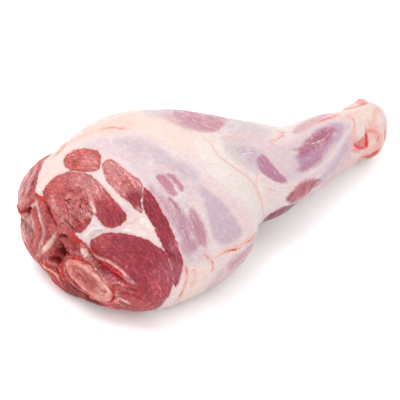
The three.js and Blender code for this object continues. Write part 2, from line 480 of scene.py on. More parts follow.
# ---- The cut face, in the picture's units ------------------------------------
# Each muscle's cut end has its outline, its tint, how many mm it bulges, and the way its fibres run: in
# degrees from across the picture, or in arcs round a point. The raw side is the torn tissue on the left.
CUT_ENDS = {
    "top_end": dict(
        outline=[
            (64, 163), (65, 158), (70.5, 152), (79, 149), (90, 149), (98, 151.5), (101, 157), (100, 166),
            (96, 171), (84, 171.5), (73, 170.5), (66, 168),
        ],
        tint="coral",
        bulge=1.2,
        fibres=14,
    ),
    "round_end": dict(
        outline=[
            (43, 194), (45, 187), (51, 180.5), (59, 175), (70, 171.5), (81, 172), (91, 176), (101, 184),
            (110, 194), (119, 206), (126, 214), (126, 220), (120, 225), (112, 227.5), (104, 226), (98, 220),
            (93, 214), (90.5, 222), (83, 231), (76, 232.5), (68, 228), (58, 217), (50, 205),
        ],
        tint="rosy",
        bulge=2.6,
        fibres=(45, 240),
    ),
    "long_end": dict(
        outline=[
            (101.5, 166), (104, 162), (110, 159.5), (117, 162.5), (127, 171), (137, 178), (142.5, 185),
            (142, 194), (140.5, 201), (143, 212), (137, 211), (127, 201), (116, 191.5), (107, 180),
        ],
        tint="salmon",
        bulge=1.6,
        fibres=48,
    ),
    "edge_end": dict(
        outline=[
            (143.5, 188), (148, 190), (154, 196.5), (161, 209), (168, 222), (174, 235), (180, 251),
            (183, 265), (181, 277), (175.5, 287.5), (173, 276), (168.5, 260), (161, 243), (153, 225),
            (145, 213), (142.5, 203),
        ],
        tint="deep",
        bulge=1.4,
        fibres=62,
    ),
    "side_end": dict(
        outline=[
            (90, 243), (95.5, 237), (104, 233), (118, 232.5), (133, 235.5), (146, 239.5), (158.5, 246.5),
            (169, 254), (174.5, 264), (176, 275), (172.5, 287), (168, 297), (160, 306), (150, 311),
            (135, 312), (116, 300), (98, 268),
        ],
        tint="plum",
        bulge=2.2,
        fibres=(95, 300),
    ),
    "raw_side": dict(
        outline=[
            (51, 150.5), (45, 161), (40.5, 171), (37.5, 182), (36, 191), (41, 195.5), (45, 196.5), (50, 200),
            (57, 209), (66, 222), (74, 231), (80, 238), (86, 243), (94, 250), (110, 262), (130, 280),
            (150, 300), (158, 316),
            (150, 335), (60, 335), (-5, 290), (-5, 150), (30, 135),
        ],
        tint="rosy",
        bulge=0.0,
        fibres=(95, 240),
    ),
}
# Spots of another tint on the cut face: place, radius, tint and strength.
FACE_SPOTS = [
    ((74, 158), 12, "coral", 0.8),
    ((90, 163), 12, "salmon", 0.7),
    ((57, 186), 15, "coral", 0.9),
    ((76, 179), 13, "coral", 0.5),
    ((94, 188), 18, "salmon", 0.85),
    ((80, 182), 13, "salmon", 0.6),
    ((72, 204), 15, "coral", 0.5),
    ((62, 212), 9, "coral", 0.8),
    ((70, 222), 9, "salmon", 0.6),
    ((86, 214), 9, "salmon", 0.7),
    ((75, 204), 13, "salmon", 0.5),
    ((92, 208), 6, "pale", 0.5),
    ((112, 214), 15, "plum", 0.8),
    ((118, 176), 18, "salmon", 0.6),
    ((135, 199), 13, "deep", 0.95),
    ((128, 184), 9, "coral", 0.5),
    ((150, 206), 14, "deep", 0.7),
    ((175, 246), 12, "berry", 0.8),
    ((178, 270), 18, "berry", 1.0),
    ((102, 242), 13, "rosy", 0.8),
    ((95, 252), 10, "red", 0.6),
    ((136, 254), 16, "wine", 0.25),
    ((120, 266), 12, "rosy", 0.7),
    ((160, 272), 14, "berry", 0.6),
    ((158, 288), 15, "rosy", 0.8),
    ((138, 290), 12, "red", 0.5),
    ((124, 296), 12, "coral", 0.6),
    ((148, 304), 12, "rosy", 0.7),
    ((30, 172), 12, "veil", 0.7),
    ((23, 186), 12, "veil", 0.7),
    ((18, 200), 9, "veil", 0.8),
    ((40, 205), 9, "coral", 0.9),
    ((26, 232), 12, "veil", 0.8),
    ((30, 222), 9, "pale", 0.8),
    ((35, 240), 8, "coral", 0.7),
    ((52, 214), 8, "red", 0.5),
    ((44, 218), 6, "salmon", 0.6),
    ((62, 232), 8, "coral", 0.6),
    ((51, 250), 11, "blood", 0.5),
    ((55, 245), 7, "coral", 0.9),
    ((60, 232), 8, "coral", 0.3),
    ((70, 246), 10, "red", 0.9),
    ((61, 250), 9, "wine", 0.6),
    ((56, 272), 16, "red", 0.9),
    ((60, 282), 9, "red", 0.8),
    # The next two wine spots are painted shade on the lower edge, which faces down towards the floor.
    ((72, 290), 13, "wine", 1.0),
    ((92, 303), 13, "wine", 1.0),
]
# Strokes that shape and tint the cut face: line, half width and height in mm, tint and strength. The darkest
# tints on the strokes that sink the skin (wine, deep and the tint of hollow bottoms) are painted shade in
# those grooves, gaps, cracks, creases and hollows.
FACE_STROKES = {
    "flap_red": ([(47, 157), (41, 170), (37, 183), (34, 193)], 2.8, 0.5, "coral", 0.7),
    "flap_groove_one": ([(43, 160), (36, 175), (31, 188), (28, 198)], 0.9, -0.7, "wine", 0.5),
    "flap_streak_one": ([(40, 162), (33, 175), (28, 187), (24, 198)], 0.8, 0.6, "pale", 0.7),
    "flap_groove_two": ([(36, 165), (29, 177), (25, 188), (21, 200)], 0.9, -0.6, "deep", 0.6),
    "flap_streak_two": ([(33, 166), (26, 178), (21, 190), (18, 201)], 0.8, 0.5, "pale", 0.7),
    "flap_end": ([(17, 207), (22, 203), (28, 200), (35, 196)], 2.2, 1.2, "salmon", 0.6),
    "flap_gap": ([(20, 213), (25, 211), (30, 208), (34, 205)], 1.4, -2.8, "wine", 0.7),
    "flap_white": ([(30, 208), (33, 205.5), (37, 203)], 1.3, 0.6, "sinew_and_shine", 0.8),
    "flap_blood": ([(18, 210), (21, 214), (25, 216)], 1.8, 0.4, "blood", 0.9),
    "blood_start": ([(36, 192), (39, 195), (43, 198), (47, 202)], 2.4, 1.0, "blood", 0.75),
    "strip_gap": ([(45, 203), (49, 212), (53, 221), (57, 229)], 1.8, -2.6, "wine", 0.9),
    "strip_inner": ([(47, 199), (54, 210), (61, 221), (69, 231), (77, 238)], 2.0, 2.0, "coral", 0.9),
    "strip_outer": ([(39, 199), (43, 210), (47, 221), (51, 231)], 1.8, 1.6, "coral", 0.7),
    "pale_line": ([(35, 196), (37.5, 206), (41, 218), (44, 229), (43, 240), (39, 251)],
                  1.8, 1.2, "veil", 1.0),
    "pale_line_shine": ([(36, 199), (39, 210), (42, 221), (43, 231)], 0.6, 0.5, "sinew_and_shine", 0.8),
    "foot_red": ([(32, 210), (36, 222), (38, 234), (34, 247)], 2.6, 0.5, "coral", 0.9),
    "foot_groove": ([(30, 213), (31, 226), (32, 240), (35, 252)], 0.9, -0.9, "deep", 0.7),
    "foot_line": ([(26, 222), (26, 232), (28, 243)], 0.7, -0.6, "wine", 0.7),
    "foot_pale": ([(25, 214), (23, 227), (25, 239), (30, 250)], 1.6, 0.6, "pale", 0.8),
    "lump": ([(53, 242), (50, 250), (51, 259)], 4.4, 2.0, "coral", 1.0),
    "lump_edge": ([(37, 252), (38, 259), (43, 264), (51, 267)], 1.7, 1.0, "blood", 1.0),
    "wedge_foot": ([(36, 260), (40, 255), (45, 249)], 1.8, 1.0, "salmon", 0.8),
    "wedge": ([(43, 252), (48, 246), (52, 241), (56, 234)], 2.1, 1.4, "wedge", 1.0),
    "wedge_shine": ([(46, 249), (50, 243), (54, 238)], 0.9, 0.4, "glint", 0.3),
    "cavity": ([(62, 244), (63.5, 250), (62, 256)], 2.1, -4.0, "dark", 0.9),
    "cavity_top": ([(57, 238), (62, 236), (68, 239)], 1.5, -3.0, "dark", 1.0),
    "cavity_side": ([(63, 250), (67, 254), (70, 259)], 1.6, -3.0, "wine", 0.9),
    "cavity_left": ([(50, 260), (54, 258), (59, 259)], 1.7, -3.4, "dark", 0.75),
    "cavity_lump": ([(66, 243), (71, 246), (74, 252)], 3.2, 1.8, "rosy", 0.8),
    "cavity_thread": ([(56, 244), (60, 247), (66, 246)], 0.7, 1.0, "salmon", 0.6),
    "lip": ([(69, 233), (76, 239), (83, 243), (90, 248), (97, 254)], 2.2, 1.8, "blood", 0.85),
    "round_rim": ([(51, 198), (57, 206), (63, 217), (70, 227)], 2.8, 0.8, "salmon", 0.95),
    "round_crack": ([(66, 218), (71, 225), (76, 230)], 0.9, -0.8, "wine", 0.8),
    "fold_one": ([(42, 263), (49, 269), (56, 274), (61, 283)], 1.1, 1.4, "pale", 0.9),
    "fold_two": ([(47, 261), (55, 265), (61, 272), (64, 281)], 1.1, 1.4, "salmon", 0.9),
    "fold_gap": ([(57, 267), (60, 275), (62, 283)], 1.8, -3.0, "dark", 0.8),
    "lobe": ([(50, 275), (56, 284), (64, 291), (74, 297)], 3.4, 1.4, "red", 0.9),
    # Painted shade along the lower edge of the cut face, under the bone, where it faces down towards the
    # floor.
    "under_bone_shade": ([(64, 282), (74, 291), (86, 299), (100, 306), (114, 311)], 3.0, -0.8, "wine", 0.9),
    "under_bone_deep_shade": ([(76, 288), (86, 296), (97, 302), (109, 307)], 1.4, -1.6, "dark", 0.7),
    "bone_band": ([(66, 263), (65, 271), (71, 281), (82, 290), (95, 297), (106, 300)],
                  1.1, 1.6, "salmon", 0.7),
    "band_blood": ([(63, 266), (62, 274), (68, 283)], 1.0, 0.8, "blood", 0.7),
    "bone_blood": ([(111, 284), (115, 287), (114, 293)], 1.8, 0.8, "blood", 0.95),
    "slot": ([(97, 263), (105, 269), (114, 275), (124, 281)], 3.4, -4.5, "crimson", 1.0),
    "slot_wall": ([(99, 260), (107, 265.5), (116, 271), (124, 277), (130, 282)], 2.8, 0.8, "crimson", 1.0),
    "slot_dark": ([(97, 261), (101, 265), (106, 269)], 1.3, -1.0, "wine", 0.8),
    "slot_dark_end": ([(110, 272), (117, 276), (123, 279), (128, 282)], 1.0, -0.8, "dark", 0.9),
    "slot_membrane": ([(103, 270), (109, 275), (117, 280)], 1.5, 0.8, "mauve", 0.55),
    "slot_ridge": ([(92, 252), (100, 256), (108, 259.5), (116, 264), (124, 270), (133, 279)],
                   1.1, 2.6, "pink", 1.0),
    "slot_fringe": ([(124, 273), (130, 279), (138, 283)], 1.3, 1.2, "salmon", 0.9),
    "slot_lining": ([(87, 256), (92, 262), (98, 270), (105, 278), (112, 285)], 1.4, 1.6, "salmon", 0.9),
    "slot_thread": ([(112, 282), (119, 282), (127, 285)], 0.7, 0.6, "pale", 0.9),
    # Real pale sinews, painted brighter than white so that they show lit in this hollow.
    "knot_glint": ([(84, 246), (85, 251), (88, 257)], 3.0, 3.0, "glint", 0.9),
    "shine_one": ([(120, 297), (125, 298), (131, 302)], 1.6, 0.6, "sinew_and_shine", 0.7),
    "shine_two": ([(114, 299), (120, 304), (127, 308)], 0.8, 0.6, "pale", 0.7),
    "crease_one": ([(119, 291), (128, 292), (138, 295), (146, 299)], 1.3, -0.9, "wine", 0.4),
    "crease_two": ([(121, 302), (131, 304), (142, 306)], 0.8, -1.2, "wine", 0.7),
    "crease_three": ([(124, 286), (134, 288), (144, 293)], 0.8, -1.0, "deep", 0.7),
    "low_rim": ([(118, 310), (131, 312.5), (145, 311.5), (157, 308)], 1.1, 0.4, "pale", 0.8),
    "round_sinew": ([(91, 201), (94, 208), (95, 215)], 1.2, 0.5, "sinew_and_shine", 0.75),
    "top_sinew": ([(65, 162), (71, 160), (78, 159)], 0.7, 0.3, "pale", 0.5),
    "top_foot": ([(70, 170.5), (80, 172), (92, 172)], 0.8, -0.5, "pale", 0.8),
}
# Where the fibres are cut straight across and stand out most: its middle and radius.
COARSE_SPOT = ((76, 209), 27)
# Hollows, sunk and shaded with painted shade: place, radius in mm, depth in mm and how strong their painted
# shade is.
HOLLOWS = {
    "cavity": ((62.5, 251), 2.6, 4.4, 0.8),
    "cavity_foot": ((57, 260), 2.8, 4.0, 0.6),
    "flap_hole": ((27, 211), 2.6, 4.5, 0.9),
    "slot_end": ((120, 278), 2.2, 2.0, 0.2),
}
# Thin pale seams between and in the muscles.
SEAMS = [
    [(143, 186), (143, 196), (142, 206), (144, 214)],
    [(165, 251), (170, 264), (173, 277), (174, 288)],
    [(127, 172), (131, 180), (136, 190)],
]

# ---- The fell and fat, in the picture's units --------------------------------
# Soft patches: outline, tint, strength and how softly they end.
FELL_PATCHES = {
    "top_fat": ([(46, 160), (58, 142), (80, 122), (110, 108), (150, 104), (172, 112), (186, 128), (205, 134),
                 (222, 158), (205, 160), (182, 150), (160, 138), (135, 132), (108, 136), (84, 142),
                 (66, 154), (56, 172), (44, 192), (38, 192)], "blush", 0.9, 6),
    "top_glow": ([(68, 142), (86, 128), (110, 121), (132, 122), (124, 131), (100, 134), (80, 140)],
                 "peach", 0.45, 5),
    "warm_side": ([(195, 138), (222, 142), (244, 160), (262, 188), (264, 224), (252, 224), (240, 204),
                   (214, 178), (198, 158)], "cream", 0.8, 6),
    "low_side": ([(206, 180), (240, 204), (256, 226), (250, 246), (236, 246), (240, 226), (226, 204)],
                 "rose_fat", 0.7, 6),
    "inner_fat": ([(86, 170), (101, 171), (112, 190), (128, 206), (142, 214), (155, 232), (168, 254),
                   (158, 246), (130, 234), (104, 230), (92, 236), (84, 246), (74, 236), (86, 232), (96, 220),
                   (110, 229), (124, 224), (128, 216), (112, 196), (98, 180)], "grey_fat", 0.75, 2.5),
    "veil_top": ([(83, 145), (99, 140), (118, 137), (138, 136), (152, 141), (164, 150), (178, 160),
                  (192, 168), (200, 182), (206, 196), (196, 202), (184, 190), (168, 176), (152, 178),
                  (136, 172), (118, 158), (102, 152)], "mist", 0.95, 4),
    "veil_core": ([(116, 142), (132, 139), (150, 143), (172, 158), (196, 172), (200, 182), (184, 178),
                   (160, 162), (136, 154)], "cold_mist", 0.85, 5),
    "veil_side": ([(140, 174), (156, 178), (172, 192), (190, 204), (205, 226), (210, 250), (200, 262),
                   (186, 262), (182, 250), (172, 224), (158, 202), (146, 188)], "mist", 0.9, 4),
    "streaks_near": ([(148, 184), (158, 192), (172, 202), (186, 218), (196, 236), (196, 250), (184, 254),
                      (174, 230), (162, 208), (152, 196)], "pink_mist", 0.95, 4),
    "wedge": ([(200, 188), (207, 189), (218, 198), (228, 208), (237, 220), (242, 232), (236, 241),
               (226, 245), (218, 243), (212, 232), (207, 214), (203, 200)], "lavender", 0.95, 2.5),
    "top_muscle": ([(158, 109), (165, 106), (178, 105), (195, 108), (212, 112), (229, 117), (227, 122),
                    (219, 129), (210, 132), (196, 131), (182, 127.5), (170, 122), (160, 115)],
                   "mauve", 0.6, 2.5),
    "top_berry": ([(174, 106), (188, 107), (204, 111), (218, 115), (227, 118), (222, 126), (212, 131),
                   (198, 130), (186, 126), (176, 120)], "berry_lilac", 0.5, 3),
    "top_rose": ([(182, 108), (200, 111), (220, 117), (224, 121), (216, 130), (204, 130), (192, 125)],
                 "rose_lilac", 0.85, 3),
    "top_haze": ([(140, 104), (150, 103), (162, 106), (166, 114), (160, 118), (146, 114)],
                 "cold_mist", 0.75, 4),
    "knee_top": ([(228, 118), (248, 121), (262, 126), (272, 132), (262, 137), (244, 136), (228, 132)],
                 "cold_mist", 0.7, 4),
    "knee_band": ([(220, 138), (232, 135), (248, 137), (262, 141), (250, 143), (232, 143)],
                  "cold_mist", 0.6, 3),
    "knee_fold": ([(246, 138), (262, 138), (276, 144), (280, 152), (268, 150), (252, 147)], "mist", 0.8, 3),
    "knee_haze": ([(224, 145), (240, 144), (262, 148), (268, 156), (258, 172), (246, 168), (232, 158)],
                  "cold_mist", 0.75, 4),
    "knee_wrinkle": ([(236, 150), (246, 147), (256, 150), (261, 158), (256, 166), (246, 158)],
                     "lavender", 0.95, 2.5),
    "shin_haze": ([(270, 148), (284, 144), (296, 150), (296, 172), (288, 180), (278, 170), (268, 158)],
                  "mist", 0.95, 4),
    "calf_halo": ([(284, 160), (292, 142), (306, 130), (326, 120), (344, 118), (352, 126), (344, 150),
                   (324, 172), (300, 182), (290, 176)], "mist", 0.9, 4),
    "calf_foot": ([(284, 150), (294, 144), (300, 150), (300, 164), (306, 176), (296, 180), (288, 170)],
                  "mist", 0.8, 4),
    "calf_violet": ([(298, 160), (304, 146), (316, 133), (331, 124), (342, 125), (342, 133), (330, 148),
                     (317, 162), (303, 172), (300, 167)], "violet", 0.9, 3),
    "calf_blue": ([(332, 124), (342, 123), (346, 129), (340, 140), (335, 138), (337, 131)],
                  "cold_lilac", 0.45, 3),
    "calf_core": ([(298, 153), (305, 141), (318, 130), (332, 127), (335, 132), (328, 142), (316, 150),
                   (303, 157)], "berry_lilac", 1.0, 3),
    "calf_magenta": ([(303, 159), (312, 154), (324, 148), (322, 160), (311, 167), (303, 168)],
                     "magenta", 0.95, 3),
    "calf_top": ([(292, 132), (300, 124), (312, 118), (326, 113), (332, 114), (320, 120), (308, 127),
                  (298, 133)], "mauve", 0.7, 2),
    "shank_band": ([(316, 182), (326, 170), (338, 156), (346, 142), (353, 132), (356, 138), (350, 152),
                    (336, 170), (322, 184)], "cold_lilac", 0.85, 2.5),
    "shank_low": ([(300, 200), (318, 188), (332, 174), (342, 158), (352, 154), (350, 166), (330, 184),
                   (306, 202)], "heel_rose", 0.8, 3),
    "hock_fat": ([(316, 122), (330, 114), (344, 110), (356, 112), (358, 128), (356, 140), (351, 138),
                  (352, 124), (342, 119), (328, 120)], "peach", 0.75, 2.5),
    "heel": ([(204, 292), (212, 280), (222, 268), (236, 256), (250, 244), (258, 234), (258, 242), (250, 257),
              (238, 270), (224, 282), (212, 290)], "heel_rose", 0.9, 3),
    "low_rim": ([(178, 306), (184, 284), (190, 268), (202, 264), (210, 272), (206, 284), (192, 300)],
                "blush", 0.8, 4),
    "under_shank": ([(262, 228), (286, 214), (306, 202), (300, 212), (280, 224)], "rose_fat", 0.7, 3),
}
# Clouds over the fell: size in mm, seed, tint, the noise at which each starts and is whole, and strength.
MOTTLES = [
    (16, 91, "peach", 0.1, 0.6, 0.22),
    (12, 92, "mist", 0.15, 0.6, 0.3),
    (7, 93, "fat", 0.0, 0.55, 0.35),
]
# The patches whose threads of fibre show: which way they run, in degrees from across the picture, and how
# much.
FIBROUS_PATCHES = {
    "inner_fat": (44, 0.35),
    "top_fat": (-34, 0.2),
    "low_side": (62, 0.2),
    "veil_top": (24, 0.45),
    "veil_side": (57, 0.55),
    "streaks_near": (59, 0.6),
    "wedge": (62, 0.1),
    "top_muscle": (16, 0.35),
    "top_rose": (14, 0.6),
    "knee_haze": (18, 0.5),
    "knee_wrinkle": (-18, 0.8),
    "calf_halo": (-42, 0.12),
    "calf_violet": (-40, 0.2),
    "calf_core": (-36, 0.35),
    "shank_band": (-50, 0.5),
    "shank_low": (-42, 0.5),
    "heel": (-40, 0.6),
}
# Windows: muscle that shows through thin fell, with a clear edge. Outline, tint, the way its fibres run, and
# how clear its edge is.
WINDOWS = {
    "oval_left": ([(156, 177), (160.5, 173.5), (166, 175.5), (171, 181), (176, 189), (177.5, 194.5),
                   (173, 196), (166, 191), (160, 184)], "mauve", 52, 0.7),
    "oval_right": ([(166, 173.5), (172, 173.5), (178, 178.5), (183.5, 186), (183.5, 191), (180, 191),
                    (175, 184), (170, 178)], "rose_lilac", 52, 0.8),
    "streak_one": ([(168, 197), (175, 202), (183, 211), (189, 222), (191, 230), (186, 226), (178, 212)],
                   "berry_lilac", 56, 0.6),
    "streak_two": ([(190, 207), (198, 215), (204, 225), (206.5, 236), (205, 246), (199, 243), (193, 232),
                    (190, 219)], "mauve", 62, 0.5),
    "streak_three": ([(176, 214), (184, 226), (191, 240), (195, 248), (189, 246), (181, 232)],
                     "lilac", 60, 0.35),
    "shin_oval": ([(257, 162), (258.5, 156.5), (262, 154), (268, 158), (274, 166), (281, 174), (287, 180),
                   (285, 183.5), (277, 182), (267, 177), (260, 170)], "magenta", 48, 0.8),
    "red_patch": ([(286, 200), (293, 190), (303, 182), (313, 179), (320, 180), (314, 188), (302, 198),
                   (292, 203)], "red_berry", -40, 0.5),
    "low_patch": ([(261, 229), (265, 218), (275, 211), (289, 205), (298, 204), (294, 214), (276, 228)],
                  "plum_lilac", -32, 1.0),
    "heel_window": ([(228, 266), (240, 254), (252, 243), (255, 243), (244, 258), (232, 269)],
                    "mauve", -46, 0.3),
}
# Folds and tinted lines in the fell and fat: line, half width and height in mm, tint and strength.
FELL_STROKES = {
    "back_strip": ([(262, 125.5), (278, 126.2), (297, 126)], 2.0, -0.1, "mauve", 0.5),
    "long_vein": ([(196, 134), (208, 141), (213, 147), (218, 156), (230, 165), (242, 173), (251, 181),
                   (257, 190), (261, 201), (263, 214), (264, 224)], 1.5, 0.5, "peach", 0.7),
    "knee_crease": ([(220, 138), (232, 136.5), (246, 137), (260, 140), (266, 146)], 1.2, 0.3, "peach", 0.5),
    "squiggle_wash_two": ([(274, 129), (280, 132), (287, 132)], 1.6, 0.2, "peach", 0.5),
    "vein_branch": ([(256, 187), (257, 176), (260, 164), (263, 156)], 1.0, 0.3, "peach", 0.5),
    "top_line_one": ([(98, 131), (108, 128), (118, 128), (128, 129)], 1.6, -0.3, "coral_fat", 0.55),
    "top_line_two": ([(118, 118), (127, 116), (134, 114)], 1.3, -0.2, "coral_fat", 0.4),
    "top_line_three": ([(68, 146), (80, 137), (92, 132)], 1.6, -0.2, "peach", 0.6),
    "fat_edge": ([(62, 170), (54, 178), (46, 188), (42, 193)], 1.6, 0.5, "peach", 0.4),
    "fat_fold_one": ([(84, 234), (94, 229), (106, 229), (120, 230), (134, 232)], 1.0, 0.8, "fat", 0.7),
    "fat_fold_two": ([(92, 222), (98, 226), (108, 229)], 1.0, 0.5, "fat", 0.7),
    "fat_shade": ([(98, 221), (106, 227.5), (118, 229.5), (128, 226)], 1.0, -0.5, "mist", 0.8),
    "fat_shade_two": ([(124, 223), (132, 224), (139, 217)], 1.2, -0.6, "peach", 0.5),
    "fat_shade_three": ([(86, 235), (92, 229), (98, 225)], 0.8, -0.6, "mist", 0.8),
    "fat_shade_four": ([(90, 239), (97, 232), (104, 229)], 0.8, -0.5, "mist", 0.8),
    "fat_white": ([(84, 238), (90, 231), (96, 226)], 1.2, 0.8, "fat", 0.9),
    # Painted shade in a crease of the fat between the muscles.
    "fat_crease_shade": ([(112, 200), (122, 208), (132, 214)], 0.8, -0.4, "mist", 0.6),
    "fat_mound": ([(138, 222), (146, 222), (152, 230)], 2.4, 0.8, "fat", 0.8),
    "rim_blotch": ([(52, 158), (58, 153), (62, 148), (66, 141)], 2.6, -0.3, "coral_fat", 0.75),
    "rim_blotch_two": ([(62, 150), (68, 143), (78, 133), (92, 126)], 1.3, -0.2, "coral_fat", 0.5),
    "fork_wash": ([(203, 252), (209, 259), (213, 264), (212, 274)], 1.8, -0.2, "peach", 0.8),
    "rim_wash": ([(184, 262), (187, 275), (184, 288), (176, 302)], 2.2, -0.3, "peach", 0.8),
    "rim_wash_two": ([(192, 270), (196, 276), (192, 288)], 1.8, -0.2, "peach", 0.5),
    "bead_wash": ([(214, 256), (226, 251), (238, 247), (248, 240), (256, 232)], 2.4, 0.5, "peach", 0.8),
    "heel_ridge": ([(212, 278), (222, 266), (236, 255), (248, 245), (257, 233)], 1.2, 0.7, "fell", 0.7),
    "knee_wash": ([(214, 128), (222, 134), (230, 136)], 1.8, 0.2, "peach", 0.4),
    "squiggle_wash": ([(270, 150), (273, 142), (279, 137), (284, 132)], 2.2, 0.2, "peach", 0.5),
    "hock_wash": ([(300, 133), (314, 124), (328, 118), (346, 113)], 1.4, 0.5, "coral_fat", 0.5),
    "hock_line": ([(317, 122.5), (326, 119.5), (335, 117), (342, 115), (346, 114)], 1.0, 0.4, "gash", 0.55),
    "hock_ring": ([(345, 114), (351, 117), (354, 123), (354, 132), (350, 142)], 1.2, 0.6, "peach", 0.8),
    "calf_edge": ([(300, 178), (316, 170), (330, 158), (341, 143), (348, 130)], 1.6, 0.6, "fell", 0.8),
    "calf_streak": ([(291, 150), (300, 149), (311, 146)], 1.4, -0.2, "berry_lilac", 0.45),
    "calf_streak_two": ([(294, 158), (303, 156), (314, 152)], 1.6, -0.2, "magenta", 0.6),
    "calf_streak_three": ([(296, 170), (306, 168), (317, 160)], 1.8, -0.2, "magenta", 0.7),
    "calf_gap": ([(297, 162), (307, 160), (318, 156)], 1.2, 0.2, "violet", 0.6),
    "shin_wash": ([(290, 196), (300, 186), (310, 177)], 1.4, 0.2, "peach", 0.5),
}
# Small blood vessels: half width in mm, strength and line.
VEINS = {
    "rim_high": (1.1, 1.0, [(54, 154), (59, 151.5), (63, 148), (67, 142)]),
    "rim_high_two": (0.8, 0.6, [(60, 145), (66, 142), (74, 134), (86, 127)]),
    "top_hair": (0.7, 0.7, [(106, 128), (112, 127), (118, 128), (125, 128)]),
    "top_hair_two": (0.6, 0.5, [(127, 116), (131, 115)]),
    "veil_hair": (0.5, 0.4, [(128, 158), (140, 157), (152, 160)]),
    "fork": (0.9, 0.75, [(203, 252), (207, 257), (212, 261), (213, 268), (211, 274)]),
    "bead_one": (1.3, 1.0, [(222, 253), (229, 250), (235, 249.5), (241, 247)]),
    "bead_two": (1.0, 0.9, [(243, 243), (250, 240), (254, 235), (256, 230)]),
    "fork_branch": (0.7, 0.5, [(212, 261), (220, 255), (226, 252)]),
    "rim_low": (1.0, 0.8, [(185, 264), (187, 275), (185, 286), (178, 299)]),
    "rim_low_two": (0.7, 0.6, [(190, 272), (195, 270), (193, 280), (188, 290)]),
    "squiggle": (0.6, 0.9, [(270, 144), (272, 140), (276, 141), (279, 138), (282, 136.5), (284, 134.5)]),
    "squiggle_two": (0.6, 0.9, [(275, 129.5), (279, 131), (281, 133.5), (285, 132)]),
    "knee_hair": (0.5, 0.5, [(216, 128), (219, 131), (221, 133)]),
    "hock_tick": (0.7, 0.6, [(347, 124), (348, 127), (348, 130)]),
    "ring": (0.7, 0.7, [(352, 118), (354, 122), (354, 128)]),
    "shin": (0.8, 0.6, [(299, 186), (303, 181), (306, 176)]),
    "shin_two": (0.6, 0.4, [(262, 186), (272, 190), (286, 192)]),
}
# Pale lines of sinews in the fell, and the calf's and shin's glints, which are painted highlights: half width
# in mm, strength and line.
SINEWS_AND_GLINTS = {
    "calf_glint": (0.8, 0.9, [(309, 145), (318, 142), (325, 138), (331, 131)]),
    "calf_glint_two": (0.7, 0.8, [(325, 134), (329, 132), (332, 137)]),
    "calf_glint_three": (0.6, 0.7, [(310, 140), (316, 135), (322, 133)]),
    "oval_gap": (1.1, 0.5, [(165, 175), (171, 182), (178, 192)]),
    "oval_edge": (1.0, 0.4, [(150, 172), (160, 184), (170, 194), (180, 199)]),
    "streak_gap": (1.3, 0.5, [(160, 184), (174, 196), (187, 212), (193, 226), (198, 244)]),
    "streak_side": (1.1, 0.4, [(150, 188), (162, 204), (174, 226), (183, 248)]),
    "streak_thread": (0.8, 0.5, [(156, 190), (168, 206), (180, 226), (188, 246)]),
    "top_one": (0.7, 0.8, [(187, 114), (192, 118), (197, 124)]),
    "top_two": (0.7, 0.7, [(206, 117), (210, 120), (214, 123)]),
    "knee_line": (0.9, 0.6, [(238, 158), (246, 154), (254, 152)]),
    "knee_line_two": (0.8, 0.6, [(236, 153), (244, 150), (252, 149)]),
    "shin_glint": (0.5, 0.6, [(273, 167), (275, 171), (275, 177)]),
    "calf_glint_four": (0.5, 0.8, [(313, 147), (320, 146), (326, 142)]),
    "calf_glint_five": (0.5, 0.8, [(329, 128), (333, 131), (337, 135)]),
    "top_three": (0.5, 0.7, [(198, 112), (203, 117), (205, 124)]),
    "top_four": (0.5, 0.6, [(215, 116), (216, 121), (213, 127)]),
    "oval_thread": (0.5, 0.7, [(170, 177), (176, 184), (181, 191)]),
    "streak_fine": (0.5, 0.7, [(176, 202), (184, 216), (189, 230), (192, 244)]),
    "streak_fine_two": (0.5, 0.6, [(165, 198), (175, 213), (184, 230), (190, 246)]),
    "veil_line": (0.9, 0.4, [(108, 152), (124, 153), (142, 158)]),
    "veil_line_two": (0.8, 0.4, [(118, 160), (134, 166), (150, 172)]),
}
